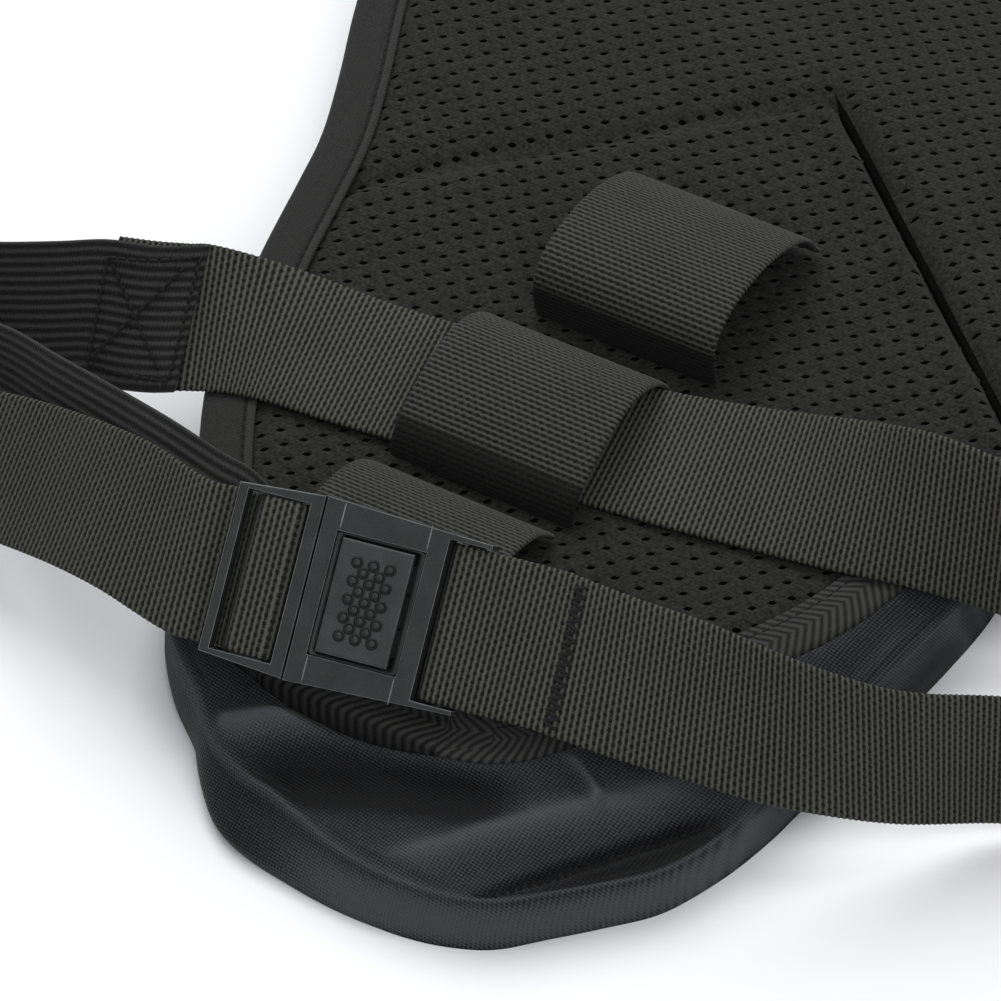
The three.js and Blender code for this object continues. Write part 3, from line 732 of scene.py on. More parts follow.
def panel_relief(x, y):
    """Height of the mesh face: quilted by the chevron seam and pulled down at the loops."""
    z = panel_plane(x, y)
    z = z + 0.55 * np.sin(x / 31 + 0.6) * np.cos(y / 43) + 0.3 * np.sin(x / 13 + y / 17)
    for side, (depth, narrow, soft, crest) in CHEVRON_RELIEF.items():
        across, along = arm_distance(x, y, side)
        groove = depth * np.exp(-np.abs(across / narrow) ** 2.2)
        groove = groove + 1.2 * np.exp(-((across / soft) ** 2))
        roll = crest * np.exp(-(((across + 5.4) / 3.8) ** 2))
        roll = roll + 0.5 * crest * np.exp(-(((across - 10) / 7) ** 2))
        z = z + (roll - groove) * smoothstep(along, -0.06, 0.03)
    for middle, near, far in LOOP_ENDS:
        for end in (near, far):
            reach = smoothstep(np.abs(x - middle), 34, 22)
            z = z - 0.7 * reach * np.exp(-(((y - end) / 4) ** 2))
    return z


def mesh_face(x, y):
    """Height of the finished mesh face."""
    inset = polygon_inset(PANEL_OUTLINE, np.column_stack([x, y]))
    return panel_relief(x, y) - EDGE_DROP * smoothstep(inset, 17.5, 10.5)


def tape_top(x, y):
    """Height that a binding's upper side is laid on."""
    return panel_plane(x, y) - 0.2 + 0.12 * np.sin(x / 9 + y / 7)


def tape_bottom(x, y):
    """Height that a binding's lower side is laid on."""
    return panel_plane(x, y) - PANEL_THICKNESS + 0.75


# ---- surroundings and materials

add_camera()
add_surroundings()

WEBBING = webbing_material(
    "webbing_polypropylene", (0.0045, 0.0045, 0.0037), (0.068, 0.0685, 0.056)
)
# The loops' webbing gets 11 mm of painted shade at the start of each strap made of it.
LOOP_WEBBING = webbing_material(
    "webbing_loops", (0.004, 0.004, 0.0036), (0.049, 0.05, 0.0445), painted_shade_length=11
)
ELASTIC = elastic_material()
MESH = mesh_material()
TWILL = tape_material("binding_twill", False)
HERRINGBONE = tape_material("binding_herringbone", True)
POUCH_NYLON = nylon_material(
    "pouch_oxford", (0.0022, 0.0023, 0.0027), (0.044, 0.0459, 0.051),
    pitch=1.25, roughness=0.62, specular=0.11, base=0.3,
)
SHELL_NYLON = nylon_material(
    "shell_nylon", (0.007, 0.0072, 0.008), (0.021, 0.022, 0.0245), pitch=0.8, roughness=0.7
)
FOAM = nylon_material(
    "foam_grain", (0.02, 0.02, 0.019), (0.05, 0.05, 0.047), pitch=1.7, roughness=0.95
)
# A lighter plastic paints highlights on the buckle's edges and parting lines; the darkest is
# painted shade in the grip rings.
PLASTIC, PLASTIC_BUTTON, PLASTIC_HIGHLIGHT, PLASTIC_DARK = (
    plastic_material(*values) for values in (
        ("buckle_acetal", (0.013, 0.0135, 0.0135), (0.027, 0.028, 0.028)),
        ("button_acetal", (0.0182, 0.0189, 0.0189), (0.0378, 0.0392, 0.0392)),
        ("buckle_acetal_highlight", (0.07, 0.072, 0.072), (0.19, 0.195, 0.192)),
        ("buckle_acetal_shade", (0.002, 0.002, 0.002), (0.005, 0.005, 0.005)),
    )
)
THREAD = thread_material()
SHADE = shade_material()
STEEL = steel_material()


# ---- make: the panel

LINING_INSET = 7.5  # from the panel's edge to the first holes
GROOVE_SHADOW_HALF = 1.25
# The foam's section: how far in from the panel's edge, and height over the panel's plane.
FOAM_SECTION = [(60, -5.4), (26, -5.4), (6, -5.2), (3.4, -5.6), (3.4, -8.4)]
SHELL_INSET = 1.2


def make_lining():
    lining = spacer_mesh("mesh_lining", PANEL_OUTLINE, LINING_INSET, mesh_face, MESH)
    place_piece(lining, "spacer_mesh", "mesh_liner")

    # The right arm of the chevron is a fold; a dark tube laid along its bottom is painted shadow.
    shares = np.linspace(-0.01, 0.97, 120)
    line = CHEVRON_APEX + shares[:, None] * CHEVRON_ARMS[1]
    depth = smoothstep(shares, -0.02, 0.06)
    left = quarter_turn(unit(CHEVRON_ARMS[1]))
    base = panel_plane(line[:, 0], line[:, 1]) - 0.8 - 2 * depth
    groove_shadow = []
    for turn in np.linspace(0, TAU, 8, endpoint=False):
        xy = line + left * GROOVE_SHADOW_HALF * math.cos(turn) * depth[:, None]
        groove_shadow.append(np.column_stack([xy, base + GROOVE_SHADOW_HALF * math.sin(turn) * depth]))
    place_piece(lofted("chevron_groove_shadow", np.stack(groove_shadow, 1), SHADE), "spacer_mesh")


def make_core():
    inward = unit(np.array([0, 130]) - PANEL_OUTLINE)
    rings = [on_face(PANEL_OUTLINE + inward * a, panel_plane, drop) for a, drop in FOAM_SECTION]
    pad = lofted("foam_pad", rings, FOAM)
    place_piece(pad, "foam", "back_foam")

    columns = np.linspace(-1, 1, 61)
    rings = []
    for y in np.linspace(PANEL_BOTTOM + SHELL_INSET, PANEL_TOP - SHELL_INSET, 110):
        x = columns * (np.interp(y, SIDE[:, 1], SIDE[:, 0]) - SHELL_INSET)
        yy = y - neck_dip(x) * smoothstep(y, 230, PANEL_TOP)
        z = panel_plane(x, y) - PANEL_THICKNESS + 0.3
        pucker = 0.22 * np.sin(yy / 6.1 + 2 * np.sin(x / 23)) * np.sin(x / 37 + 1)
        pucker = pucker * smoothstep(yy, 104, 122)
        top = np.column_stack([x, yy, z + 1.1 + pucker])
        bottom = np.column_stack([x, yy, z + 0.25 + pucker])
        rings.append(np.vstack([top, bottom[::-1]]))
    skin = lofted("shell_cloth", rings, SHELL_NYLON)
    place_piece(skin, "shell_fabric", "outer_shell")


def make_bindings():
    step = SIDE[1:] - SIDE[:-1]
    step = unit(np.vstack([step, step[-1:]]))
    for side, label, weave in ((1, "right", HERRINGBONE), (-1, "left", TWILL)):
        path = SIDE * (side, 1)
        inward = np.column_stack([-step[:, 1] * side, step[:, 0]])
        tape = edge_tape(f"side_tape_{label}", path, inward, tape_top, tape_bottom, weave)
        place_piece(tape, "binding_tape", f"edge_binding_{label}")
        line = path + inward * (TAPE_WIDTH - STITCH_LINE)
        rows = [on_face(line, tape_top, 0.55), on_face(line, tape_bottom, -0.5)]
        seam_piece(f"side_seam_{label}", rows, 0.22)

    hem = np.column_stack([np.linspace(-36, 36, 60), np.full(60, float(PANEL_BOTTOM))])
    hem[:, 1] += 4.6 * smoothstep(np.abs(hem[:, 0]), 23, 38) + 1.2
    raised = lambda x, y: tape_top(x, y) + 0.25
    lowered = lambda x, y: tape_bottom(x, y) - 0.45
    for name, path, weave, node in (
        ("hem_herringbone", hem, HERRINGBONE, "hem_tape"),
        ("neck_tape", NECK, TWILL, "neck_binding"),
    ):
        inward = quarter_turn(unit(np.gradient(path, axis=0)))
        tape = edge_tape(name, path, inward, raised, lowered, weave)
        place_piece(tape, "binding_tape", node)


# ---- make: belt loops

# Each belt loop: x of its middle, and y and z along its arch.
LOOPS = {
    "belt_loop_bottom": (-11, [
        (-38, 26.6), (-35, 28.5), (-32, 33), (-24, 37.5), (-10, 39), (2, 37.8), (11, 34.2),
        (16.5, 29.6), (19, 26.8),
    ]),
    "belt_loop_middle": (-9, [
        (24.8, 26.6), (24.4, 29), (26.6, 33.6), (33, 38.2), (41, 41.9), (49, 43.8), (56, 43.8),
        (63, 41.6), (69, 37.6), (73, 32.6), (75.5, 27.4),
    ]),
    "belt_loop_top": (-3, [
        (86.6, 26.6), (85.4, 31), (84.8, 36.2), (85.2, 39.6), (87.8, 43), (94, 46), (103, 46.9),
        (113, 45.9), (123, 42.9), (131.5, 38.6), (136.5, 34.2), (139.5, 30), (142, 27),
    ]),
}
LOOP_HALF = 26


def make_loops():
    for name, (x, arch) in LOOPS.items():
        low, high = ([(x + s * LOOP_HALF, y, z) for y, z in arch] for s in (-1, 1))
        loop = strap(name + "_webbing", low, high, 1.6, LOOP_WEBBING, per_rib=6, columns=11)
        place_piece(loop, "loop_webbing", name)


# ---- make: buckle

BELT_WIDTH = 38
BUCKLE_ORIGIN = np.array([-16, -46.5, 52])
ROLL, PITCH, YAW = (math.radians(a) for a in (43.8, 3.7, 13.7))
BUCKLE = np.array(
    Matrix.Rotation(YAW, 3, "Z") @ Matrix.Rotation(PITCH, 3, "Y") @ Matrix.Rotation(ROLL, 3, "X")
)


def buckle_point(x, y, z):
    """A point of the buckle's own frame: x along the belt, y across it, z out of the top face."""
    return BUCKLE_ORIGIN + BUCKLE @ np.array([x, y, z], float)


def buckle_edges(points):
    """The two edges of a belt, from its (x, z) in the buckle; a third number shifts it across."""
    return tuple(
        [buckle_point(p[0], side * BELT_WIDTH / 2 + (*p, 0)[2], p[1]) for p in points]
        for side in (-1, 1)
    )


def soften(node, width):
    """Rounds the sharp edges of a CAD node as it is shown; the rounded faces take a lighter plastic
    as painted highlight.
    """
    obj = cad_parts[node]
    weld = obj.modifiers.new("weld", "WELD")
    weld.merge_threshold = 1e-5
    bevel = obj.modifiers.new("bevel", "BEVEL")
    bevel.width = width * MM
    bevel.segments = 2
    bevel.limit_method = "ANGLE"
    bevel.angle_limit = math.radians(35)
    # The bevel's faces take material 1, the painted-highlight plastic.
    bevel.material = 1
    obj.data.materials.clear()
    obj.data.materials.append(PLASTIC)
    obj.data.materials.append(PLASTIC_HIGHLIGHT)


def rounded_rectangle(half_x, half_y, radius):
    """Points round a rectangle about the origin."""
    points = []
    for corner, (sx, sy) in enumerate(((1, 1), (-1, 1), (-1, -1), (1, -1))):
        for turn in np.radians(90 * corner + np.linspace(0, 90, 6)):
            x = sx * (half_x - radius) + radius * math.cos(turn)
            y = sy * (half_y - radius) + radius * math.sin(turn)
            points.append((x, y))
    return points


WINDOW_MIDDLE, WINDOW_HALF, WINDOW_CORNER = 15.4, (10.95, 15.05), 0.9
BUTTON_MIDDLE, BUTTON_FACE = 15.1, 1  # along the belt, and height over the housing's face
# Section of the window's sloping rim: how far inside the window, and height.
RIM_SECTION = [(0.05, -0.5), (0.45, -0.3), (1.6, -1.25), (1.6, -3), (0.05, -3)]
RIM_SECTION_ENDS = 0.35  # share of that slope across the window's short sides
RING_SPACING = (2.02, 4.45)  # half a step along the belt and a step across it
# Radius and height over the button's face, for a ring and for the dot in it.
RING_SECTION = [(1.5, -0.1), (1.5, 0.1), (0.78, 0.1), (0.78, -0.1)]
DOT_SECTION = [(0.8, -0.1), (0.8, 0.12), (0.66, 0.24), (0.25, 0.26)]
# The CAD nodes shown as they are, and how wide their edges are rounded.
BUCKLE_EDGES = {"housing_top": 0.45, "housing_bottom": 0.3, "push_button": 0.75, "tongue": 0.5}


def grip_places():
    """Where the rings on the push button are: columns of five, with columns of four between."""
    step_x, step_y = RING_SPACING
    for column in range(-2, 3):
        rows = (-2, -1, 0, 1, 2) if column % 2 == 0 else (-1.5, -0.5, 0.5, 1.5)
        for row in rows:
            yield BUTTON_MIDDLE + column * step_x, row * step_y


def turned(name, profile, material, sides):
    """A small turned shape at each grip place of the push button."""
    verts, faces = [], []
    one = loft([[0] * sides] * len(profile))
    for x, y in grip_places():
        first = len(verts)
        for radius, height in profile:
            for t in np.linspace(0, TAU, sides, endpoint=False):
                u, v = x + radius * math.cos(t), y + radius * math.sin(t)
                verts.append(buckle_point(u, v, BUTTON_FACE + height))
        faces += [tuple(first + k for k in face) for face in one]
    place_piece(build(name, verts, faces, material), "buckle_plastic", body="button")


def make_buckle():
    for node, width in BUCKLE_EDGES.items():
        soften(node, width)
    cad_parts["push_button"].data.materials[0] = PLASTIC_BUTTON
    # The leaf spring goes flat under the button's foot, so it's shown by a copy of its own.
    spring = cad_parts["button_spring"]
    verts = np.array([spring.matrix_world @ v.co for v in spring.data.vertices]) / MM
    faces = [tuple(p.vertices) for p in spring.data.polygons]
    leaf = build("leaf_spring", verts, faces, STEEL, smooth=False)
    place_piece(leaf, "spring_steel", "button_spring")
    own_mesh(leaf)

    rings = []
    for inset, z in RIM_SECTION:
        end_inset = inset * (RIM_SECTION_ENDS if inset > 1 else 1)
        half_x, half_y = WINDOW_HALF[0] - inset, WINDOW_HALF[1] - end_inset
        outline = rounded_rectangle(half_x, half_y, WINDOW_CORNER)
        rings.append([buckle_point(WINDOW_MIDDLE + x, y, z) for x, y in outline])
    rim = lofted("window_rim", rings, PLASTIC, closed_path=True)
    place_piece(rim, "buckle_plastic")

    turned("button_grip_rings", RING_SECTION, PLASTIC_DARK, 16)
    turned("button_grip_dots", DOT_SECTION, PLASTIC, 12)

    # Parting lines as thin ridges in the lighter plastic, a painted highlight.
    lines = []
    for x in (4.9, 26.2):
        for side in (-1, 1):
            lines.append([buckle_point(x, side * y, 0.02) for y in (15.4, 21.8)])
    starts, ends = zip(*lines)
    up = np.tile(BUCKLE[:, 2], (4, 1))
    marks = stitches("housing_parting_lines", starts, ends, up, 0.22, PLASTIC_HIGHLIGHT, 0)
    place_piece(marks, "buckle_plastic")


# ---- make: waist belt


def leaning_edges(points, width=BELT_WIDTH):
    """Edge curves of a strap from (x, y, z, lean) along its lower edge, lean 0 lying flat to the
    left. A fifth number is how far the upper edge lags behind where it turns in its own plane."""
    low = np.array([p[:3] for p in points], float)
    step = np.arange(len(low))
    heading = low[np.minimum(step + 1, len(low) - 1)] - low[np.maximum(step - 1, 0)]
    left = unit(np.column_stack([-heading[:, 1], heading[:, 0], 0 * heading[:, 0]]))
    lean = np.radians([p[3] for p in points])[:, None]
    across = left * np.cos(lean) + np.array([0, 0, 1]) * np.sin(lean)
    lag = np.array([(*p, 0)[4] for p in points], float)[:, None]
    return low, low + across * width - unit(heading) * lag


# The belt, the elastic and the tail, each as leaning_edges takes it and then inside the buckle.
BELT_ROUND = [
    (-117, 14.6, 21.4, 62), (-108, 14.8, 23, 57), (-98, 15.5, 24.8, 47), (-90, 18, 26.6, 34),
    (-82, 21.5, 27, 24), (-72, 24, 27, 17), (-55, 26, 26.8, 13), (-36, 28.5, 26.6, 12),
    (-10, 31, 26.6, 12), (17, 33, 26.6, 12), (37, 35.5, 26.8, 16), (56, 38.5, 27, 22),
    (78, 42, 27.4, 34), (98, 47.5, 26.4, 50), (118, 55, 21, 64), (150, 65, 11, 78),
    (180, 71, 4, 86), (203, 70, 2, 90), (215, 58, 2, 90), (208, 42, 2, 92), (186, 27, 2.5, 95),
    (160, 17, 3.5, 97), (143, 8, 5, 99), (125, -10, 12, 103), (112, -21, 18, 110),
    (98, -29, 22.5, 118), (82, -35, 27, 126), (64, -40.5, 30.5, 133),
]
BELT_FOLD = [
    (58, -2.6), (51, -2.4), (45, -2.1), (40, -2), (36, -2.05), (33.2, -3.1), (32.3, -5.4),
    (33.2, -7.8), (36, -8.8), (42, -8.7), (49, -7.4), (55, -6.3), (61, -5.9),
]
ELASTIC_ROUND = [
    (-92, 15.2, 27.6, 141), (-98, 13.9, 25.6, 133), (-108, 13.1, 22.8, 123), (-118, 13, 20.6, 118),
    (-130, 11, 16.5, 115), (-148, 9, 11, 111), (-170, 9, 5, 102), (-189, 6, 2, 93),
    (-198, -4, 2, 90), (-191, -13, 2.5, 88), (-172, -16.5, 6, 84), (-150, -14.5, 11, 79),
    (-129, -17, 16.5, 75, 0.4), (-109, -27, 22.8, 69, 2), (-87, -37, 28.6, 63, 4),
    (-67, -45.4, 33.6, 59, 6),
]
ELASTIC_END = [(-30, -15, 7), (-22, -14, 5), (-12, -13.9, -1)]
TAIL = [
    (-186, -33, 2, 85), (-168, -35, 3, 82), (-148, -38.5, 7.5, 72), (-130, -42, 13.5, 62),
    (-113, -45.5, 20, 56), (-102, -48, 24, 53, 1), (-85, -52, 29.4, 51, 2.6),
    (-69, -55.8, 32.8, 49, 4.6),
]
TAIL_THREAD = [
    (-30, -9.8), (-24, -9.6), (-20.5, -9.6), (-17.9, -9.3), (-16.2, -8.2), (-15.5, -6.2),
    (-15.2, -3.9), (-13.9, -2.3), (-11.5, -1.9), (-8.4, -1.85), (-6.1, -2), (-4.95, -3.3),
    (-4.8, -5.6), (-5.3, -7.9), (-7.4, -9.4), (-11, -10.6), (-16, -11.5), (-25, -11.6),
]


# The seam on the elastic's cut end: a box and a cross, as (length along it, share of its width).
BOX_CORNERS = [(2, 0.08), (2, 0.92), (24.5, 0.88), (24.5, 0.14), (2, 0.08)]
BOX_LINES = [*zip(BOX_CORNERS, BOX_CORNERS[1:]), ((5, 0.86), (23, 0.2)), ((5, 0.16), (23, 0.84))]
BAR_TACK_X, BAR_TACK_HALF, BAR_TACK_STITCHES = 64, 1.7, 26


def joined(first, second):
    """Two pairs of edges, one after the other."""
    return tuple(np.vstack([a, b]) for a, b in zip(first, second))


def on_strap(edges, marks, lift):
    """Points over a strap's face: marks are (length along it, share of its width)."""
    low, high, normal, along = stations(*edges, 0.5)
    points = []
    for s, share in marks:
        a, b, n = (
            np.array([np.interp(s, along, values[:, k]) for k in range(3)])
            for values in (low, high, normal)
        )
        points.append(a * (1 - share) + b * share + n * lift)
    return points


def make_belts():
    belt_edges = joined(leaning_edges(BELT_ROUND), buckle_edges(BELT_FOLD))
    belt = strap("waist_webbing", *belt_edges, 1.8, WEBBING, columns=6)
    place_piece(belt, "belt_webbing", "waist_belt")

    elastic_edges = joined(leaning_edges(ELASTIC_ROUND), buckle_edges(ELASTIC_END))
    elastic = strap(
        "elastic_webbing", *elastic_edges, 1.6, ELASTIC,
        rib=0.3, columns=75, per_rib=1, pitch=2.4, ribs_along=ELASTIC_PITCH,
    )
    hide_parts("side_elastic")
    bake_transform(elastic)

    tail_edges = joined(leaning_edges(TAIL), buckle_edges(TAIL_THREAD))
    tail = strap("adjuster_webbing", *tail_edges, 1.8, WEBBING, columns=6)
    place_piece(tail, "belt_webbing", "adjuster_strap", body="tongue_side")

    rows = [on_strap(elastic_edges, np.linspace(*ends, 12), -1.05) for ends in BOX_LINES]
    seam_piece("elastic_box_seam", rows, 0.5, 2.4, 0.95, (0, -0.7, 0.7))

    # The belt's folded end is held by a bar tack across its outer face.
    low, high, _, along = stations(*belt_edges, 0.5)
    up = BUCKLE[:, 2]
    off = np.linalg.norm((low + high) / 2 - buckle_point(BAR_TACK_X, 0, -2.6), axis=1)
    tack = along[np.argmin(off)]
    shares = np.linspace(0.05, 0.95, BAR_TACK_STITCHES + 1)
    sway = [BAR_TACK_HALF * (1 if k % 2 else -1) for k in range(len(shares))]
    middle = on_strap(belt_edges, [(tack, 0.5)], 0)[0]
    for side in (-1, 1):
        dots = on_strap(belt_edges, [(tack + s, share) for s, share in zip(sway, shares)], side)
        if dots[BAR_TACK_STITCHES // 2] @ up > middle @ up:
            ups = np.tile(up, (BAR_TACK_STITCHES, 1))
            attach(stitches("belt_bar_tack", dots[:-1], dots[1:], ups, 0.55, THREAD), "vest")


# ---- make: pouch

# Across the pouch at each y, from its left to its right edge: (y, x, x).
POUCH_ROWS = np.array([
    (-90, 4, 38), (-88, -8, 46), (-83, -18.5, 57), (-74.5, -27.5, 66), (-64.5, -37.5, 76),
    (-53, -51, 86), (-33, -65.5, 94), (-10, -73.5, 98.5), (20, -79, 103.5), (50, -81, 108),
    (75, -80, 109), (90, -76, 106), (97, -66, 98), (100, -50, 82),
], float)
POUCH_CENTRE = np.array([16.0, 5.0])
SEAM_HEIGHT = 13.2  # where the wall of the pouch meets its upper side
HEM_HEIGHT = 25.1  # where the upper side meets the hem of the panel
UNDER_PANEL = 14.9  # where it lies under the panel
POUCH_STITCH_LINE = 2.6  # from its upper seam to the row of stitches
# Folds of the slack cloth: points along each, half width and height.
FOLDS = [
    ([(-46, -78), (-31, -73), (-18, -67), (-4, -61), (9, -57)], 3.8, 5.2),
    ([(-20, -81), (-6, -76), (9, -70), (22, -65), (37, -60), (50, -54)], 6.2, -4.2),
    ([(24, -86), (34, -79), (47, -66), (61, -51), (74, -37), (84, -25)], 4.0, 3.6),
    ([(40, -96), (50, -83), (69, -58), (80, -43), (91, -27)], 1.2, -3.2),
    ([(52, -92), (62, -78), (75, -58), (86, -42), (95, -27)], 4.2, -3.4),
    ([(43, -44), (50, -41.5), (58, -42.5), (63, -46), (65, -52)], 1.5, 2.8),
    ([(-62, -30), (-52, -50), (-40, -62)], 3.5, -1.4),
    ([(94, -30), (100, -8), (103, 20), (105, 50)], 4.5, 1.6),
]
# Turns round the pouch, and the width of the sloping gusset there.
SEAM_INSET = ((3.9, 4.2, 4.45, 4.73, 5.07, 5.6), (1, 1.6, 9, 5.4, 3, 1))
# The gusset from its upper seam to the floor: share of its bulge, and height.
GUSSET_SECTION = [
    (0.02, 1), (0.1, 0.985), (0.25, 0.94), (0.5, 0.86), (0.75, 0.76), (0.93, 0.64), (1, 0.5),
    (0.95, 0.38), (0.8, 0.27), (0.6, 0.17), (0.35, 0.09), (0.1, 0.03), (-0.5, 0),
]


def around(loop, turns):
    """Distance from the pouch's centre to a closed line, at each turn."""
    angle = np.arctan2(loop[:, 1] - POUCH_CENTRE[1], loop[:, 0] - POUCH_CENTRE[0]) % TAU
    order = np.argsort(angle)
    reach = np.linalg.norm(loop - POUCH_CENTRE, axis=1)
    return np.interp(turns % TAU, angle[order], reach[order], period=TAU)


def evened(values, count):
    """Values round a closed line, averaged over their neighbours."""
    kernel = np.exp(-np.linspace(-2, 2, 2 * count + 1) ** 2)
    wrapped = np.concatenate([values[-count:], values, values[:count]])
    return np.convolve(wrapped, kernel / kernel.sum(), "valid")


def fold_height(x, y):
    """Height that the folds add to the slack cloth."""
    z = 0 * x
    for points, half, height in FOLDS:
        line = catmull([(*p, 0) for p in points], np.linspace(0, 1, 60))[:, :2]
        distance = np.full(x.shape, 1e9)
        share = np.zeros(x.shape)
        for k, p in enumerate(line):
            d = np.hypot(x - p[0], y - p[1])
            closer = d < distance
            distance = np.where(closer, d, distance)
            share = np.where(closer, k / (len(line) - 1), share)
        fade = smoothstep(share, -0.02, 0.22) * smoothstep(share, 1.04, 0.75)
        z = z + height * np.exp(-((distance / half) ** 2)) * fade
    return z


def make_pouch():
    turns = np.linspace(0, TAU, 560, endpoint=False)
    rows = catmull(POUCH_ROWS, np.linspace(0, 1, 400))
    reach = evened(around(np.vstack([rows[:, [2, 0]], rows[::-1][:, [1, 0]]]), turns), 8)
    hem = around(PANEL_OUTLINE, turns)
    seam = reach - evened(np.interp(turns, *SEAM_INSET), 8)
    shown = smoothstep(reach - hem, 0.5, 9)  # 1 where the pouch comes out from under the panel
    out = np.column_stack([np.cos(turns), np.sin(turns)])

    def ring(r, z):
        return np.column_stack([POUCH_CENTRE + out * np.reshape(r, (-1, 1)), z + 0 * turns])

    # The upper side, from under the panel to the upper seam.
    inner = np.minimum(hem + 0.45, seam - 1)
    top = UNDER_PANEL + (HEM_HEIGHT - UNDER_PANEL) * shown
    seam_z = UNDER_PANEL - 0.2 + (SEAM_HEIGHT - UNDER_PANEL + 0.2) * shown
    loops = [ring(r, UNDER_PANEL - 0.5) for r in (0.2 * inner, 0.7 * inner, inner - 6)]
    loops.append(ring(inner - 0.1, UNDER_PANEL))
    # Painted light and shade for each ring of the bag, none on the rings under the panel.
    painted_light_shade = [0 * turns] * len(loops)
    for share in np.linspace(0, 1, 48):
        r = inner + (seam - inner) * share
        from_hem, from_seam = r - inner, seam - r
        z = seam_z + 0.5 + (top - seam_z - 0.5) * np.exp(-((from_hem / 17) ** 1.5))
        x, y = (POUCH_CENTRE + out * r[:, None]).T
        slack = smoothstep(from_hem, -1, 5) * smoothstep(from_seam, 0, 5) * shown
        crumple = 0.22 * np.sin(x / 3.1 + y / 7) * np.sin(y / 4.3 - x / 9)
        crumple = crumple + 0.35 * np.sin(x / 8 - y / 5 + 1)
        lift = fold_height(x, y) * slack
        sewn_in = 0.5 * shown * np.exp(-(((from_seam - POUCH_STITCH_LINE) / 0.8) ** 2))
        loops.append(ring(r, z + lift + crumple * slack - sewn_in))
        # Painted light and shade: fold ridges lighter, valleys darker, and a painted highlight
        # along the upper seam.
        rim = 0.7 * shown * np.exp(-((from_seam / 1.1) ** 2))
        painted_light_shade.append(np.clip(lift / 3.2, -1, 1.4) + rim)

    # The gusset down to the floor, and the face that the pouch rests on.
    ripple = np.sin(turns * 7 + 1) * 0.55 + np.sin(turns * 13 + 2) * 0.4 + np.sin(turns * 29) * 0.15
    bulge = 0.1 + 2.6 * np.exp(-(((turns - 4.28) / 0.25) ** 2)) + 0.6 * ripple
    outer_wall = smoothstep(turns, 4.45, 4.8)
    for share, z in GUSSET_SECTION:
        slope = (seam + 0.5 - reach) * smoothstep(z, 0.3, 1)
        loops.append(ring(reach - 0.5 + slope + bulge * share, z * seam_z))
        # Painted light on the outer wall that faces the front light, slight painted shade on the
        # rest of the gusset.
        painted_light_shade.append((outer_wall * 1.4 - 0.1) * shown * share)
    loops += [ring(0.8 * reach, 0), ring(0.4 * reach, 0)]
    painted_light_shade += [0 * turns] * 2
    bag = lofted("pouch_bag", loops, POUCH_NYLON)
    # The bag keeps its painted light and shade as a stored number that the nylon reads.
    bag.data.attributes.new("painted_light_shade", "FLOAT", "POINT").data.foreach_set("value", np.ravel(painted_light_shade))
    place_piece(
        bag, "pouch_nylon",
        "pouch_back", "pouch_gusset", "pouch_face", "pouch_filling",
        "pouch_piping_upper", "pouch_piping_lower",
    )

    sewn = (shown > 0.9) & (turns > math.pi)
    path = ring(seam - POUCH_STITCH_LINE, seam_z + 0.35)[sewn]
    seam_piece("pouch_seam", [path], 0.17, 2.7)


# ---- make: shoulder straps and handle

PAD_ROUTE = [
    (69, 333.5), (69, 372), (87, 408), (126, 427), (170, 418), (205, 390), (224, 350), (221, 316),
    (208, 295),
]
PAD_WIDTH = (58, 40)  # at the panel and at the far end
PAD_EDGE = (3.2, 5.8)  # heights of its rim
PAD_MIDDLE = (0.35, 9.3)  # heights at its middle
PAD_TAPE_WIDTH = 9
# The pad's shell: how far in from its rim, which face, and height over that face.
PAD_SECTION = [
    (1.6, "top", -0.9), (5, "top", -1.9), (14, "top", -1.9), (18.5, "top", -1.9),
    (18.5, "bottom", 0.1), (14, "bottom", 0.1), (9, "bottom", 0.2), (5, "bottom", 0.3),
    (1.6, "bottom", 0.7),
]
STRAP_FROM, STRAP_TO = (205, 291), (151, 237)
LOCK = 36  # from the first of them to the ladder lock
# The webbing through the ladder lock, and the tab's two ends and its fold in it: x and z.
STRAP_ROUTE = [
    (-45, 4.6), (-38, 4.8), (-32, 4.8), (-22, 4.5), (-14, 4), (-9, 4), (-5.8, 4.9), (-4.4, 7),
    (-3.3, 8.8), (-1.05, 9.5), (0.9, 8.9), (1.8, 7), (2, 5), (3.2, 3.2), (6.5, 2.3), (14, 2.2),
    (34, 1.5), (64, 1.3),
]
TAB_FOLD = [(14, 10.6), (8.6, 10.3), (6.2, 10.1), (4.6, 9), (4.2, 7), (5, 4.9), (7.6, 4), (14, 5.4)]
TAB_ENDS = {-1: [(25, 12), (21, 9.6)], 1: [(61, 17), (57, 14.6)]}
STRAP_HALF = 12.5


def pad_outline(side):
    """The pad's rim as a closed line with rounded corners, and the unit vectors into the pad."""
    t = np.linspace(0, 1, 200)
    middle = catmull([(x, y, 0) for x, y in PAD_ROUTE], t)[:, :2]
    ahead = unit(np.gradient(middle, axis=0))
    half = (PAD_WIDTH[0] + (PAD_WIDTH[1] - PAD_WIDTH[0]) * smoothstep(t, 0.5, 1))[:, None] / 2
    left = quarter_turn(ahead)
    rough = np.vstack([middle + left * half, (middle - left * half)[::-1]])
    rough = np.vstack([rough, rough[:1]])
    length = lengths(rough)
    even = np.linspace(0, length[-1], 331)[:-1]
    rim = [np.interp(even, length, rough[:, k]) for k in (0, 1)]
    kernel = np.ones(9) / 9
    rim = [np.convolve(np.r_[row[-4:], row, row[:4]], kernel, "valid") for row in rim]
    rim = np.column_stack(rim) * (side, 1)
    inward = quarter_turn(unit(np.roll(rim, -1, axis=0) - np.roll(rim, 1, axis=0)))
    if polygon_inset(rim, rim[:1] + inward[:1] * 3)[0] < 0:
        inward = -inward
    return rim, inward


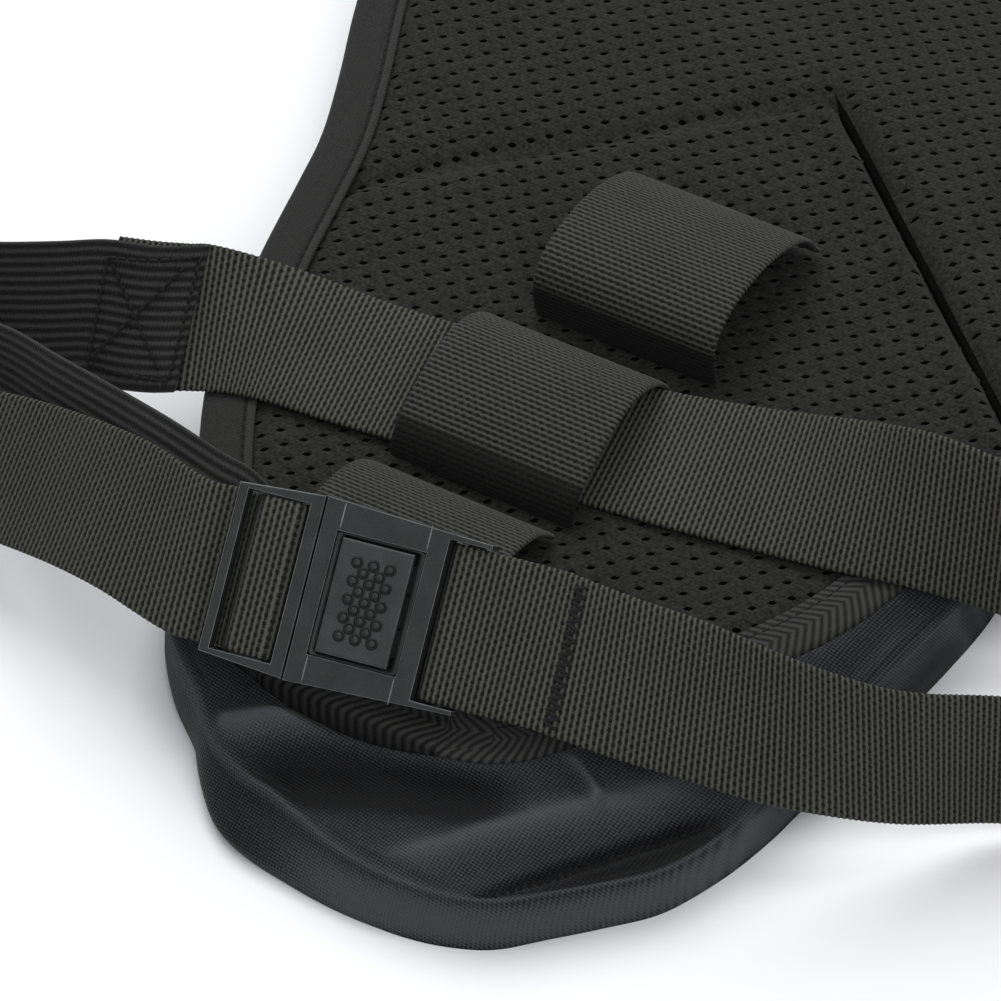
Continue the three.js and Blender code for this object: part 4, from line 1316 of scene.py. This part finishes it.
def pad_heights(rim):
    """Functions for the heights of the pad's two faces."""

    def rise(x, y):
        return smoothstep(polygon_inset(rim, np.column_stack([x, y])), -1, 17)

    top = lambda x, y: PAD_EDGE[1] + (PAD_MIDDLE[1] - PAD_EDGE[1]) * rise(x, y)
    bottom = lambda x, y: PAD_EDGE[0] - (PAD_EDGE[0] - PAD_MIDDLE[0]) * rise(x, y)
    return top, bottom


def strap_point(side, x, y, z):
    """A point of the lower strap's own frame: x towards the panel's side from the ladder lock."""
    heading = unit(np.subtract(STRAP_TO, STRAP_FROM).astype(float))
    origin = np.array(STRAP_FROM) + LOCK * heading
    ahead = heading * (side, 1)
    return np.array([*(origin * (side, 1) + ahead * x + quarter_turn(ahead) * y), z])


def make_shoulder(side, label):
    rim, inward = pad_outline(side)
    top, bottom = pad_heights(rim)
    lining = spacer_mesh(f"pad_mesh_{label}", rim, 5.5, lambda x, y: top(x, y) - 0.4, MESH)
    place_piece(lining, "shoulder_fabric")

    loops = []
    for inset, face, lift in PAD_SECTION:
        loops.append(on_face(rim + inward * inset, top if face == "top" else bottom, lift))
    body = lofted(f"pad_shell_{label}", loops, SHELL_NYLON, closed_path=True)
    place_piece(body, "shoulder_fabric", f"shoulder_pad_{label}")

    tape = edge_tape(f"pad_tape_{label}", rim, inward, top, bottom, TWILL, PAD_TAPE_WIDTH, True)
    place_piece(tape, "binding_tape")
    thread = on_face(rim + inward * (PAD_TAPE_WIDTH - STITCH_LINE), top, 0.6)
    path = np.vstack([thread, thread[:1]])
    seam_piece(f"pad_seam_{label}", [path], 0.22)

    edges = [[strap_point(side, x, s * STRAP_HALF, z) for x, z in STRAP_ROUTE] for s in (-1, 1)]
    web = strap(f"shoulder_webbing_{label}", *edges, 1.5, LOOP_WEBBING, columns=5)
    place_piece(web, "strap_webbing", f"strap_webbing_{label}")

    edges = []
    for s, (first, last) in TAB_ENDS.items():
        route = [first, *TAB_FOLD, last]
        edges.append([strap_point(side, x, s * side * STRAP_HALF, z) for x, z in route])
    tab = strap(f"side_webbing_{label}", *edges, 1.5, LOOP_WEBBING, columns=5)
    place_piece(tab, "strap_webbing", f"side_tab_{label}")

    soften(f"ladder_lock_{label}", 0.5)

    rows = [[strap_point(side, x, y, 5.75) for y in (-11, 11)] for x in (-30, -27.5)]
    seam_piece(f"pad_tack_{label}", rows, 0.3, 2.4)


HANDLE = [
    (-30, 323.5, 3, 30), (-25, 332, 3.5, 34), (0, 339, 4, 40), (25, 332, 3.5, 34),
    (30, 323.5, 3, 30),
]


def make_handle():
    edges = leaning_edges(HANDLE, 2 * STRAP_HALF)
    handle = strap("handle_webbing", *edges, 1.5, LOOP_WEBBING, columns=5)
    place_piece(handle, "strap_webbing", "grab_handle")


make_lining()
make_core()
make_bindings()
make_loops()
make_buckle()
make_belts()
make_pouch()
for side_sign, side_label in ((-1, "left"), (1, "right")):
    make_shoulder(side_sign, side_label)
make_handle()
